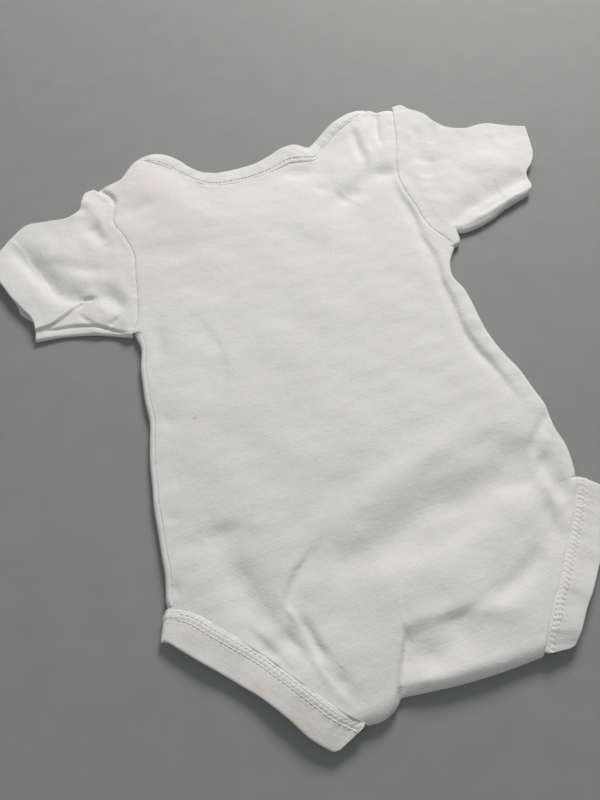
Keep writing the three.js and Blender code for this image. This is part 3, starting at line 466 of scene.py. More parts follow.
SLEEVE_RIGHT_CREASES = [
    crease(
        6.5, 4.6, (102, 73, -0.4), (114, 79, -0.9), (124.5, 85, -1.3), (133, 87, -1.0), (142, 90, -1.3),
        (150, 91, -1.0), (160, 94, -1.2), (167, 96, -1.3), (175, 97, -1.0),
    ),
    crease(7.5, 7.5, (122, 163, -1.0), (115, 145, -1.4), (106, 124, -0.9)),
    crease(4, 4, (131, 160, -0.6), (122, 140, -0.6)),
    crease(5, 5, (118, 132, -0.8), (108, 112, -0.8)),
    crease(2.2, 2.2, (160, 82, 0.3), (140, 76, 0.5), (121, 72, 0.4)),
    crease(14, 14, (165, 125, 1.0), (130, 110, 1.0)),
    crease(4.5, 4.5, (115, 181, 0.9), (108, 150, 0.9)),
]


# Curves and tables


def smooth_step(start, end, value):
    t = np.clip((value - start) / (end - start), 0, 1)
    return t * t * (3 - 2 * t)


def mix(a, b, t):
    return a + (b - a) * t


def bell(distance, width):
    return np.exp(-((distance / width) ** 2))


def unit(vectors):
    return vectors / np.maximum(np.linalg.norm(vectors, axis=-1, keepdims=True), 1e-9)


def smooth_join(start, end, leave, arrive, t):
    """A smooth curve from start to end, with the slopes with which it leaves and arrives."""
    first = (2 * t**3 - 3 * t**2 + 1) * start + (t**3 - 2 * t**2 + t) * leave
    return first + (3 * t**2 - 2 * t**3) * end + (t**3 - t**2) * arrive


def smooth_through(places, values, at):
    """Values on a smooth curve through given ones, at new places along it."""
    at = np.clip(at, places[0], places[-1])
    i = np.clip(np.searchsorted(places, at, side="right") - 1, 0, len(places) - 2)
    before = np.maximum(i - 1, 0)
    after = np.minimum(i + 2, len(places) - 1)
    spread = (...,) + (None,) * (values.ndim - 1)
    span = (places[i + 1] - places[i])[spread]
    slope_a = (values[i + 1] - values[before]) / (places[i + 1] - places[before])[spread]
    slope_b = (values[after] - values[i]) / (places[after] - places[i])[spread]
    t = (at - places[i])[spread] / span
    return smooth_join(values[i], values[i + 1], span * slope_a, span * slope_b, t)


def along_table(rows, x, column):
    return smooth_through(rows["x"], rows[column], x)


def distances_along(line):
    """How far along a line each of its points is."""
    steps = np.linalg.norm(np.diff(line, axis=0), axis=-1)
    return np.concatenate([[0], np.cumsum(steps)])


def values_at(values, along, distances):
    return np.stack([np.interp(distances, along, column) for column in values.T], -1)


def plan_curve(points):
    """A dense line on the smooth curve through plan points."""
    points = np.array(points, float)
    padded = np.vstack([2 * points[0] - points[1], points, 2 * points[-1] - points[-2]])
    chord = np.sqrt(np.linalg.norm(np.diff(padded, axis=0), axis=1))
    t = np.linspace(0, 1, 24, endpoint=False)[:, None]
    line = []
    for i in range(1, len(padded) - 2):
        p0, p1, p2, p3 = padded[i - 1 : i + 3]
        a, b, c = chord[i - 1 : i + 2]
        leave = b * ((p1 - p0) / a - (p2 - p0) / (a + b) + (p2 - p1) / b)
        arrive = b * ((p2 - p1) / b - (p3 - p1) / (b + c) + (p3 - p2) / c)
        line.append(smooth_join(p1, p2, leave, arrive, t))
    return np.vstack(line + [points[-1:]])


def at_shares(line, shares):
    """Points at given shares of a line's length."""
    along = distances_along(line)
    return values_at(line, along, shares * along[-1])


def nearest_on(line, x, y):
    """The distance to a line, whether a point is on its left, and how far along the line it is."""
    best = np.full(x.shape, np.inf)
    on_left = np.zeros(x.shape, bool)
    place = np.zeros(x.shape)
    along = distances_along(line)
    for j in range(len(line) - 1):
        dx, dy = line[j + 1] - line[j]
        t = np.clip(((x - line[j, 0]) * dx + (y - line[j, 1]) * dy) / (dx * dx + dy * dy), 0, 1)
        off_x = x - line[j, 0] - t * dx
        off_y = y - line[j, 1] - t * dy
        square = off_x**2 + off_y**2
        closer = square < best
        best = np.where(closer, square, best)
        on_left = np.where(closer, dx * off_y - dy * off_x > 0, on_left)
        place = np.where(closer, along[j] + t * (along[j + 1] - along[j]), place)
    return np.sqrt(best), on_left, place


def away_from_light(line, item):
    """Moves a crease sideways, so that its shaded or its bright slope is where its points say."""
    tangent = unit(np.gradient(line, axis=0))
    left = np.stack([-tangent[:, 1], tangent[:, 0]], -1)
    facing = left @ LIGHT_SIDE
    half = np.where(facing > 0, item["left"], item["right"])
    return line - SHADE_SHIFT * (half * facing)[:, None] * left


def crease_height(x, y, creases):
    """The sum of the creases at each point. Each fades at its two ends."""
    total = np.zeros_like(x)
    for item in creases:
        points = item["points"]
        along = distances_along(points[:, :2])
        length = along[-1]
        fine = np.linspace(0, length, max(3, int(length / CREASE_STEP)))
        line = smooth_through(along, points, fine)
        widest = max(item["left"], item["right"])
        reach = CREASE_REACH * widest
        line[:, :2] = away_from_light(line[:, :2], item)
        low = line[:, :2].min(0) - reach
        high = line[:, :2].max(0) + reach
        near = (x > low[0]) & (x < high[0]) & (y > low[1]) & (y < high[1])
        if not near.any():
            continue
        off, on_left, place = nearest_on(line[:, :2], x[near], y[near])
        fade = min(CREASE_FADE * widest, length / 2)
        ends = smooth_step(0, fade, place) * smooth_step(0, fade, length - place)
        half = np.where(on_left, item["left"], item["right"])
        depth = CREASE_DEPTH * np.interp(place, fine, line[:, 2]) * mix(CREASE_END, 1, ends)
        total[near] += depth * bell(off, half)
    return total


def unevenness(x, y, wavelength, seed):
    """A gentle unevenness between about -1 and 1, from waves in several directions."""
    random = np.random.RandomState(seed)
    total = np.zeros_like(x)
    waves = 9
    for _ in range(waves):
        angle, phase = random.uniform(0, 2 * math.pi, 2)
        length = wavelength * random.uniform(0.7, 1.5)
        turn = 2 * math.pi / length
        total += np.sin((x * math.cos(angle) + y * math.sin(angle)) * turn + phase)
    return total / math.sqrt(waves)


def puckers(place, length, drift, swing=2.5, swell=None):
    """Small uneven ripples along a seam. swell is the length over which they grow and fade."""
    ripples = np.sin(place / length + swing * np.sin(place / drift))
    return ripples if swell is None else ripples * (0.6 + 0.4 * np.sin(place / swell))


# Rolls at the sides: arc is measured round the roll from its outermost line, plus on top and minus beneath


def roll_inset(arc, roll=ROLL):
    beyond = np.abs(arc) - roll * math.pi / 2
    return np.where(beyond > 0, roll + beyond, roll * (1 - np.cos(arc / roll)))


def roll_rise(arc, roll=ROLL):
    quarter = roll * math.pi / 2
    return (1 + np.sin(np.clip(arc, -quarter, quarter) / roll)) / 2


# Heights of the body

SEAM_LINES = {
    "armhole_left": plan_curve(ARMHOLE_LEFT),
    "armhole_right": plan_curve(ARMHOLE_RIGHT),
}
LEG_LINES = [
    np.stack([BACK_LEG_ROWS[side + "_x"], BACK_LEG_ROWS[side + "_y"]], -1) for side in ("left", "right")
]


def seam_dip(x, y):
    """The groove along the armhole seams, and the small puckers beside them."""
    total = np.zeros_like(x)
    for line in SEAM_LINES.values():
        off, _, place = nearest_on(line[::8], x, y)
        total -= SEAM_DEPTH * bell(off, SEAM_WIDTH)
        total += SEAM_PUCKER * puckers(place, 1.1, 5.3, swing=2) * bell(off, 4)
    return total


def leg_pucker(x, y):
    total = np.zeros_like(x)
    for line in LEG_LINES:
        off, _, place = nearest_on(line, x, y)
        total += LEG_PUCKER * puckers(place, 0.9, 6.1, swell=9) * np.exp(-off / 4)
    return total


def body_height(x, y):
    """Height of the body's upper layer."""
    across = np.clip(np.abs(x - CROWN_MIDDLE) / CROWN_REACH, 0, 1)
    crown = CROWN * (1 - across**2)
    crotch = CROTCH_RISE * smooth_step(*CROTCH_RISE_Y, y)
    crotch -= CROTCH_ROUND * smooth_step(CROTCH_ROUND_REACH, 0, y - along_table(CROTCH_EDGE, x, "y"))
    to_neck = along_table(TOP_EDGE, x, "y") - y
    droop = NECK_DROOP * smooth_step(*NECK_DROOP_X, np.abs(x)) * smooth_step(NECK_DROOP_REACH, 0, to_neck)
    waves = 0.22 * unevenness(x, y, 38, 3) + 0.09 * unevenness(x, y, 13, 5)
    folds = crease_height(x, y, BODY_CREASES)
    height = EDGE_HEIGHT + crown + crotch - droop + folds + waves + seam_dip(x, y) + leg_pucker(x, y)
    # a deep fold comes to rest on the layers below it
    lowest = 2 * CLOTH + LAYER_GAP + TAB_LIFT * smooth_step(*ABOVE_TAB_Y, y)
    settled = lowest + SETTLING * np.exp((height - lowest) / SETTLING - 1)
    return np.where(height < lowest + SETTLING, settled, height)


def flap_drop(x, y):
    """How far the left sleeve's middle and lowest layers lie under its flap."""
    past_flap = along_table(FLAP_EDGE, x, "y") - y
    past_strip = along_table(STRIP_LINE, x, "y") - y
    # the middle layer slopes down to the strip between the flap's end and the armhole
    slope = smooth_step(-128, -119, x) * smooth_step(-107, -113, x) * smooth_step(-13, 0, past_strip)
    middle = along_table(FLAP_EDGE, x, "drop") * smooth_step(-0.8, 0.5, past_flap) + FLAP_SLOPE * slope
    edge = smooth_step(-0.6, 0.6, past_strip) + 0.7 * bell(past_strip, 0.9)
    return middle + along_table(STRIP_LINE, x, "drop") * edge


def sleeve_height(x, y, q, from_under, left):
    """Height of a sleeve's upper layer.

    q runs from 0 at the armhole to 1 at the cuff, and from_under is how far a place is from the under fold.
    """
    hem_start = 1 - HEM_WIDTH / SLEEVE_LENGTH
    hem = HEM_RISE * smooth_step(hem_start, hem_start + 0.03, q)
    if left:
        hem = hem * smooth_step(*LEFT_HEM_Y, y)
    puff = SLEEVE_PUFF * (1 - q) * smooth_step(*SLEEVE_PUFF_Y, y)
    waves = 0.2 * unevenness(x, y, 30, 11) + 0.08 * unevenness(x, y, 11, 13)
    creases = SLEEVE_LEFT_CREASES if left else SLEEVE_RIGHT_CREASES
    own = EDGE_HEIGHT + SLEEVE_RISE + puff + hem + waves + crease_height(x, y, creases)
    own = own - (flap_drop(x, y) if left else SLEEVE_ROUND * smooth_step(SLEEVE_ROUND_REACH, 0, from_under))
    joined = mix(body_height(x, y), own + seam_dip(x, y), smooth_step(0, 0.2, q))
    return np.maximum(joined, LOWEST_HEIGHT)


# Building meshes


def metres(points):
    """Garment millimetres to the part's frame in metres."""
    return (np.asarray(points, float) - (*CENTRE, 0)) * MM


def add_mesh(name, points, faces, material, flat=None, crisp=(), lowest=0.0):
    """A smooth mesh object with its place in its vertices, and nothing of it below a lowest height.

    flat gives each vertex its place on the cut cloth. crisp lists faces that aren't smoothed, as at an edge.
    """
    mesh = bpy.data.meshes.new(name)
    above = np.asarray(points, float).copy()
    above[:, 2] = np.maximum(above[:, 2], lowest)
    mesh.from_pydata(metres(above).tolist(), [], faces)
    smooth = np.ones(len(mesh.polygons), bool)
    smooth[list(crisp)] = False
    mesh.polygons.foreach_set("use_smooth", smooth.tolist())
    if flat is not None:
        corners = np.zeros(len(mesh.loops), np.int32)
        mesh.loops.foreach_get("vertex_index", corners)
        layer = mesh.uv_layers.new(name="cut")
        layer.data.foreach_set("uv", np.asarray(flat, np.float32)[corners].ravel())
    mesh.materials.append(material)
    mesh.update()
    piece = bpy.data.objects.new(name, mesh)
    bpy.context.scene.collection.objects.link(piece)
    return piece


def surface_normals(grid, closed_across=False):
    if closed_across:
        across = np.roll(grid, -1, 1) - np.roll(grid, 1, 1)
    else:
        across = np.gradient(grid, axis=1)
    return unit(np.cross(across, np.gradient(grid, axis=0)))


def quads(index):
    a, b = index[:-1, :-1].ravel(), index[:-1, 1:].ravel()
    c, d = index[1:, 1:].ravel(), index[1:, :-1].ravel()
    return np.stack([a, b, c, d], -1)



def cloth_wall(grid, thickness, closed_across=False):
    """A thin closed wall, from its outer points.

    Gives its vertices, its faces, each vertex's grid point and the faces of its first edge. A panel has one
    edge, all round it. A tube, which is closed across, has its sewn edge first and its free one second.
    """
    rows, columns = grid.shape[:2]
    count = rows * columns
    outer = grid.reshape(-1, 3)
    inner = (grid - surface_normals(grid, closed_across) * thickness).reshape(-1, 3)
    index = np.arange(count).reshape(rows, columns)
    if closed_across:
        index = np.hstack([index, index[:, :1]])
    faces = quads(index).tolist()
    faces += (quads(index)[:, [0, 3, 2, 1]] + count).tolist()
    if closed_across:
        loops = [index[0, :-1], index[-1, :-1][::-1]]
    else:
        loops = [np.concatenate([index[0], index[1:, -1], index[-1, -2::-1], index[-2:0:-1, 0]])]
    rims = []
    crisp = []
    owners = [np.arange(count), np.arange(count)]
    start = 2 * count
    for number, loop in enumerate(loops):
        i, k = loop // columns, loop % columns
        within_k = k if closed_across else np.clip(k, 1, columns - 2)
        within = np.clip(i, 1, rows - 2) * columns + within_k
        outward = unit(outer[loop] - outer[within])
        bulge = SEWN_BULGE if number == 0 else FREE_BULGE
        rims.append((outer[loop] + inner[loop]) / 2 + outward * thickness * bulge)
        owners.append(loop)
        mid = start + np.arange(len(loop))
        following = np.roll(np.arange(len(loop)), -1)
        first_face = len(faces)
        faces += np.stack([loop, mid, mid[following], loop[following]], -1).tolist()
        faces += np.stack([mid, loop + count, loop[following] + count, mid[following]], -1).tolist()
        if number == 0:
            crisp = range(first_face, len(faces))
        start += len(loop)
    return np.vstack([outer, inner, *rims]), faces, np.concatenate(owners), crisp


def add_cloth(name, grid, thickness, material, flat, closed_across=False):
    points, faces, owners, crisp = cloth_wall(grid, thickness, closed_across)
    return add_mesh(name, points, faces, material, flat.reshape(-1, 2)[owners], crisp)


# Body panels


def across_row(row, left_start, right_start, under=False):
    """Places across a row: x, y and rise, close together near both edges."""
    flat = 1 - row["side"]
    direction = -1 if under else 1
    left_arcs = left_start + direction * EDGE_STEPS
    right_arcs = (right_start + direction * EDGE_STEPS)[::-1]
    left = row["left_x"] + roll_inset(left_arcs) - ROLL * flat
    right = row["right_x"] - roll_inset(right_arcs) + ROLL * flat
    middle = np.linspace(left[-1], right[0], MIDDLE_COLUMNS + 1)[1:-1]
    rise = np.full(len(middle), float(roll_rise(left_arcs[-1])))
    x = np.concatenate([left, middle, right])
    rise = np.concatenate([roll_rise(left_arcs), rise, roll_rise(right_arcs)])
    y = mix(row["left_y"], row["right_y"], (x - row["left_x"]) / (row["right_x"] - row["left_x"]))
    return x, y, rise


def rows_of(rows):
    names = list(rows)
    return [dict(zip(names, values)) for values in zip(*rows.values())]


def armhole_row(share, **more):
    left = at_shares(SEAM_LINES["armhole_left"], share)
    right = at_shares(SEAM_LINES["armhole_right"], share)
    return {"left_x": left[0], "left_y": left[1], "right_x": right[0], "right_y": right[1], "side": 0, **more}


def armhole_rows(end_share):
    steps = np.linspace(0, 1, ARMHOLE_ROWS)
    return [armhole_row(end_share * step, bend=float(smooth_step(0, 1, step))) for step in steps]


def follow_top(x, y, rise, row, edge, fold_arc, direction):
    """Bends a row to follow the shaped top edge, and leaves its two ends on the armhole seams."""

    def edge_y(at):
        return along_table(edge, np.asarray(at, float), "y")

    if "bend" in row:
        share = (x - row["left_x"]) / (row["right_x"] - row["left_x"])
        y = y + row["bend"] * (edge_y(x) - mix(edge_y(row["left_x"]), edge_y(row["right_x"]), share))
    if "arc" in row:

        def drop(at):
            neck = np.clip(along_table(edge, np.asarray(at, float), "neck"), 0, 1)
            arc = mix(fold_arc, direction * QUARTER, neck) + direction * row["arc"]
            return roll_inset(arc) - ROLL * neck, roll_rise(arc)

        inset, top_rise = drop(x)
        left_shift = row["left_y"] - (edge_y(row["left_x"]) - drop(row["left_x"])[0])
        right_shift = row["right_y"] - (edge_y(row["right_x"]) - drop(row["right_x"])[0])
        near_left = smooth_step(END_REACH, 0, x - row["left_x"])
        near_right = smooth_step(END_REACH, 0, row["right_x"] - x)
        y = edge_y(x) - inset + left_shift * near_left + right_shift * near_right
        rise = rise * top_rise if direction > 0 else np.maximum(rise, top_rise)
    return x, y, rise


def refine_rows(rows, step):
    """More rows between the given ones, on smooth curves through them."""
    rows = np.array(rows)
    shape = rows[..., :3] * (1, 1, EDGE_HEIGHT)
    gaps = np.linalg.norm(np.diff(shape, axis=0), axis=-1).mean(1)
    along = np.concatenate([[0], np.cumsum(gaps)])
    fine = [0]
    for start, end in zip(along[:-1], along[1:]):
        count = max(1, round((end - start) / step))
        fine += list(np.linspace(start, end, count + 1)[1:])
    return smooth_through(along, rows, np.array(fine))



def back_grid():
    """The back's outer points from the end of its tail to the neck, and their places on the cut cloth."""
    rows = []
    for arc in TAIL_ARCS:
        on_top = float(smooth_step(-9, -QUARTER, arc))
        top_inset = float(roll_inset(arc)) if arc > 0 else 0
        row = {
            "left_x": mix(TAIL_SIDES["left"], CROTCH_SIDES["left"], on_top) - top_inset,
            "left_y": 0,
            "right_x": mix(TAIL_SIDES["right"], CROTCH_SIDES["right"], on_top) + 0.45 * top_inset,
            "right_y": 0,
            "side": 0,
        }
        x, _, _ = across_row(row, QUARTER, QUARTER)
        y = mix(TAIL_EDGE_Y, along_table(CROTCH_EDGE, x, "y"), on_top) + roll_inset(arc)
        rise = np.full(len(x), float(roll_rise(arc)))
        rows.append(np.stack([x, y, rise, np.full(len(x), TAIL_LIFT)], -1))
    plain = rows_of(BACK_LEG_ROWS) + rows_of(SIDE_ROWS) + armhole_rows(BACK_ARM_SHARE)
    for row in plain + [armhole_row(share, arc=arc) for share, arc in BACK_TOP_ROWS]:
        left_start = mix(QUARTER, SIDE_SEAM_ARC, row["side"])
        right_start = mix(QUARTER, RIGHT_SEAM_ARC, row["side"])
        x, y, rise = across_row(row, left_start, right_start)
        x, y, rise = follow_top(x, y, rise, row, TOP_EDGE, SHOULDER_ARC, 1)
        rows.append(np.stack([x, y, rise, np.zeros(len(x))], -1))
    fine = refine_rows(rows, BACK_ROW_STEP)
    x, y, rise, base = np.moveaxis(fine, -1, 0)
    height = mix(base, body_height(x, y), rise)
    return np.stack([x, y, height], -1), fine[..., :2]


def front_grid():
    """The front's outer points from its tab to the neck, and their places on the cut cloth."""
    rows = []
    plain = rows_of(FRONT_LEG_ROWS) + rows_of(SIDE_ROWS) + armhole_rows(FRONT_ARM_SHARE)
    for row in plain + [armhole_row(share, arc=arc) for share, arc in FRONT_TOP_ROWS]:
        left_start = mix(-QUARTER, SIDE_SEAM_ARC - SEAM_GAP, row["side"])
        right_start = mix(-QUARTER, RIGHT_SEAM_ARC - HIDDEN_SEAM_GAP, row["side"])
        x, y, rise = across_row(row, left_start, right_start, under=True)
        x, y, rise = follow_top(x, y, rise, row, FRONT_NECK, -QUARTER, -1)
        rows.append(np.stack([x, y, rise], -1)[::-1])
    fine = refine_rows(rows, FRONT_ROW_STEP)
    x, y, rise = np.moveaxis(fine, -1, 0)
    tab = TAB_LIFT * smooth_step(*TAB_Y, y)
    return np.stack([x, y, tab + rise * body_height(x, y)], -1), fine[..., :2]


# Sleeves


def sleeve_grid(shape, left):
    """One flattened tube from the armhole to the cuff."""
    outward = -1 if left else 1
    curves = {side: plan_curve(points) for side, points in shape.items()}
    q = np.linspace(0, 1, SLEEVE_ROWS + 1)[:, None]
    under = at_shares(curves["under"], q[:, 0])[:, None]
    top = at_shares(curves["top"], q[:, 0])[:, None]
    depth = np.linalg.norm(top - under, axis=-1)

    # each place round the tube: a share of the middle stretch, an inset from the nearer fold, and a rise
    arcs = SLEEVE_ARCS
    lower_arcs = -arcs[1:-1]
    share = np.linspace(0, 1, SLEEVE_TOP_COLUMNS + 1)[1:-1]
    under_share = np.linspace(0, 1, SLEEVE_UNDER_COLUMNS + 1)
    at_fold = np.ones(len(arcs))
    inset_round = roll_inset(arcs, SLEEVE_ROLL)
    inset_below = roll_inset(lower_arcs, SLEEVE_ROLL)
    rise_round = roll_rise(arcs, SLEEVE_ROLL)
    rise_below = roll_rise(lower_arcs, SLEEVE_ROLL)
    stretches = [
        (0 * at_fold, inset_round, rise_round),
        (share, float(inset_round[-1]) + 0 * share, np.ones(len(share))),
        (at_fold, inset_round[::-1], rise_round[::-1]),
        (at_fold[1:-1], inset_below, rise_below),
        (1 - under_share, SLEEVE_ROLL + 0 * under_share, 0 * under_share),
        (0 * at_fold[1:-1], inset_below[::-1], rise_below[::-1]),
    ]
    middle_share, inset, rise = (np.concatenate(column)[None] for column in zip(*stretches))
    from_under = mix(inset, depth - inset, middle_share)
    p = from_under / depth

    def between(shares):
        start = at_shares(curves["armhole"], shares)
        end = at_shares(curves["cuff"], shares)
        return mix(start, end, q[..., None])

    along = mix(under, top, p[..., None])
    corners = mix(between(np.zeros_like(p)), between(np.ones_like(p)), p[..., None])
    plan = between(p) + along - corners
    plan[..., 0] += outward * SEAM_GAP * (1 - q)
    x, y = plan[..., 0], plan[..., 1]
    from_under, q = np.broadcast_to(from_under, x.shape), np.broadcast_to(q, x.shape)
    height = rise * sleeve_height(x, y, q, from_under, left)
    if left:
        bump = CUFF_PEEK["reach"] * bell(y - CUFF_PEEK["y"], CUFF_PEEK["length"])
        x = x - bump * smooth_step(0.85, 1, q) * (1 - rise)
    grid = np.stack([x, y, height], -1)
    flat = np.stack([from_under, q * SLEEVE_LENGTH], -1)
    if not left:
        grid, flat = grid[:, ::-1], flat[:, ::-1]
    return grid, flat


# Rib strips: bindings and bands


def strip_grid(inner, outer, up, lift):
    """A doubled rib strip with rounded edges, from the rows of its two edges. lift raises its outer face."""
    rows = np.concatenate([inner, outer, up], -1)
    middle = (inner + outer) / 2
    along = distances_along(middle)
    fine = np.linspace(0, along[-1], max(8, round(along[-1] / STRIP_STEP)))
    inner, outer, up = np.split(smooth_through(along, rows, fine), 3, -1)
    up = unit(up)
    width = np.linalg.norm(outer - inner, axis=-1)[:, None]
    direction = (outer - inner) / width
    radius = RIB / 2
    turn = np.radians(np.linspace(90, -90, 9))[1:-1]
    top = np.linspace(0, 1, STRIP_TOP_POINTS)
    bottom = np.linspace(1, 0, STRIP_UNDER_POINTS)
    share = np.concatenate([top, 1 + 0 * turn, bottom, 0 * turn])
    cosine = np.concatenate([0 * top, np.cos(turn), 0 * bottom, -np.cos(turn)])
    sine = np.concatenate([1 + 0 * top, np.sin(turn), -1 + 0 * bottom, -np.sin(turn)])
    from_end = np.minimum(fine, fine[-1] - fine)[:, None]
    beyond = np.clip(1 - from_end / CORNER, 0, 1)
    inset = CORNER * (1 - np.sqrt(1 - beyond**2))
    across = radius + share[None] * (width - 2 * radius) + radius * cosine[None]
    across = width / 2 + (across - width / 2) * (1 - 2 * inset / width)
    raised = (1 + sine[None]) / 2 * lift(across, fine[:, None], width)
    rise = radius * (sine[None] - 1) + raised
    grid = inner[:, None] + direction[:, None] * across[..., None] + up[:, None] * rise[..., None]
    flat = np.stack([np.broadcast_to(fine[:, None], across.shape), across], -1)
    return grid, flat


def closed_strip(name, grid, flat, material, backwards=False):
    """Closes a strip's ring of points into a solid with two rounded ends."""
    if backwards:
        grid, flat = grid[::-1], flat[::-1]
    rows, columns = grid.shape[:2]
    starts = []
    for end, inside in ((0, 1), (-1, -2)):
        centre = grid[end].mean(0)
        outward = unit(grid[end] - grid[inside])
        starts.append(centre + (grid[end] - centre) * 0.985 + outward * 0.3)
    grid = np.concatenate([starts[0][None], grid, starts[1][None]])
    flat = np.concatenate([flat[:1], flat, flat[-1:]])
    rows += 2
    index = np.arange(rows * columns).reshape(rows, columns)
    index = np.hstack([index, index[:, :1]])
    faces = quads(index).tolist()
    points = np.vstack([grid.reshape(-1, 3), grid[0].mean(0), grid[-1].mean(0)])
    flats = np.vstack([flat.reshape(-1, 2), flat[0].mean(0), flat[-1].mean(0)])
    first, last = rows * columns, rows * columns + 1
    for k in range(columns):
        faces.append([first, int(index[0, k + 1]), int(index[0, k])])
        faces.append([last, int(index[-1, k]), int(index[-1, k + 1])])
    return add_mesh(name, points, faces, material, flats)


def stitch_groove(across, along, row, depth, width):
    """The groove under a row of stitches, deepest in the middle of each."""
    pull = 0.75 + 0.25 * np.cos(along * 2 * math.pi / STITCH_PITCH)
    return -depth * pull * bell(across - row, width)


def band_lift(across, along, width):
    """Rows of stitches pull the band in, and small puckers run from them towards its outer edge."""
    grooves = stitch_groove(across, along, SEAM_ROW, 0.32, 0.75)
    grooves = grooves + stitch_groove(across, along, SECOND_ROW, 0.32, 0.75)
    middle = (SEAM_ROW + SECOND_ROW) / 2
    rungs = 0.25 * np.cos(along * 2 * math.pi / STITCH_PITCH + 0.8) * bell(across - middle, 1.6)
    ridge = 0.45 * bell(across - middle, 2.2)
    pucker = 0.13 * puckers(along, 0.85, 6.3, swell=8.7) * np.exp(-np.abs(across - SECOND_ROW) / 4)
    soft = 0.16 * unevenness(along + 0 * across, across + 0 * along, 14, 21)
    swell = 0.35 * np.sin(np.clip(across / width, 0, 1) * math.pi)
    sunk = -0.8 * smooth_step(1.6, 0, across)
    return grooves + rungs + ridge + pucker + soft + swell + sunk


def binding_lift(across, along, width):
    """One row of stitches pulls the binding in, with small puckers on both sides of it."""
    groove = stitch_groove(across, along, BINDING_ROW, 0.16, 0.8)
    pucker = 0.1 * puckers(along, 0.8, 5.9) * np.exp(-np.abs(across - BINDING_ROW) / 2.5)
    soft = 0.12 * unevenness(along + 0 * across, across + 0 * along, 12, 23)
    swell = 0.3 * np.sin(np.clip(across / width, 0, 1) * math.pi)
    sunk = -0.6 * smooth_step(1.3, 0, across)
    return groove + pucker + soft + swell + sunk


def neck_binding_rows():
    x = np.linspace(NECK_BINDING["x"][0], NECK_BINDING["x"][-1], NECK_ROWS)
    facet = 2  # half the length of the back's edge that is taken as straight
    edge = along_table(TOP_EDGE, x, "y")
    chord = (along_table(TOP_EDGE, x - facet, "y") + along_table(TOP_EDGE, x + facet, "y")) / 2
    sewn = np.stack([x, np.maximum(edge, chord)], -1)
    outer = np.stack([along_table(NECK_BINDING, x, "outer_" + c) for c in "xy"], -1)
    rise = along_table(NECK_BINDING, x, "rise")
    inner = sewn - unit(outer - sewn) * SEAM_OVERLAP
    rolled = mix(SHOULDER_SHARE, 1, np.clip(along_table(TOP_EDGE, x, "neck"), 0, 1))
    on_cloth = rolled * (body_height(inner[:, 0], inner[:, 1]) + 0.05)
    inner_z = np.maximum(LOWEST_BINDING, on_cloth) + 0.3 * rise
    outer_z = np.maximum(LOWEST_BINDING, inner_z - 0.7) + 0.7 * rise
    up = np.tile([0.0, 0, 1], (len(x), 1))
    return np.column_stack([inner, inner_z]), np.column_stack([outer, outer_z]), up


def front_binding_rows():
    x = np.linspace(*FRONT_BINDING_ENDS, FRONT_NECK_ROWS)
    edge = along_table(FRONT_NECK, x, "y")
    slope = (along_table(FRONT_NECK, x + 2, "y") - along_table(FRONT_NECK, x - 2, "y")) / 4
    outward = unit(np.stack([-slope, np.ones_like(x)], -1))
    inner = np.stack([x, edge + 1.9], -1) + outward * (0.8 - ROLL)
    outer = inner + outward * BINDING_WIDTH
    height = np.full(len(x), RIB + 0.2)
    up = np.tile([0.0, 0, 1], (len(x), 1))
    return np.column_stack([inner, height]), np.column_stack([outer, height]), up


def over_the_edge(rows):
    """A band's rows, with its inner edge moved so that it laps over the cloth."""
    across = np.hypot(rows["outer_x"] - rows["inner_x"], rows["outer_y"] - rows["inner_y"])
    lap = (SEAM_OVERLAP + BAND_LAP) / across
    moved = {"inner_" + c: rows["inner_" + c] - lap * (rows["outer_" + c] - rows["inner_" + c]) for c in "xy"}
    return {**rows, **moved}


def leg_band_rows(back, front, outward):
    """Along the back's leg edge, round the side and back along the front's."""
    back, front = over_the_edge(back), over_the_edge(front)
    inner_z = body_height(back["inner_x"], back["inner_y"]) + BAND_RISE
    outer_z = np.maximum(BAND_EDGE_HEIGHT, inner_z - BAND_FALL) + back["rise"]
    turns = [math.radians(angle) for angle in (50, 0, -50)]
    edges = []
    for edge, z in (("inner", inner_z), ("outer", outer_z)):
        x, y = back[edge + "_x"], back[edge + "_y"]
        above = np.column_stack([x, y, z])
        reach = [outward * BAND_WRAP * math.cos(turn) for turn in turns]
        share = [(1 + math.sin(turn)) / 2 for turn in turns]
        round_side = [[x[-1] + out, y[-1], part * z[-1]] for out, part in zip(reach, share)]
        below = np.column_stack([front[edge + "_x"], front[edge + "_y"], 0 * front[edge + "_x"]])
        edges.append(np.vstack([above, round_side, below]))
    up = [np.tile([0.0, 0, 1], (len(inner_z), 1))]
    up.append([[outward * math.cos(turn), 0, math.sin(turn)] for turn in turns])
    up.append(np.tile([0.0, 0, -1], (len(front["inner_x"]), 1)))
    return *edges, np.vstack(up)


def plain_lift(across, along, width):
    return np.zeros(np.broadcast(across, along).shape)


def top_only(lift, up_z):
    """Keeps the part of a strip that lies on the surface flat."""

    def limited(across, along, width):
        turned = np.interp(along[:, 0], np.linspace(0, along[-1, 0], len(up_z)), up_z)[:, None]
        return lift(across, along, width) * smooth_step(-0.2, 0.4, turned)

    return limited


# Stitches: short rounded lengths of thread


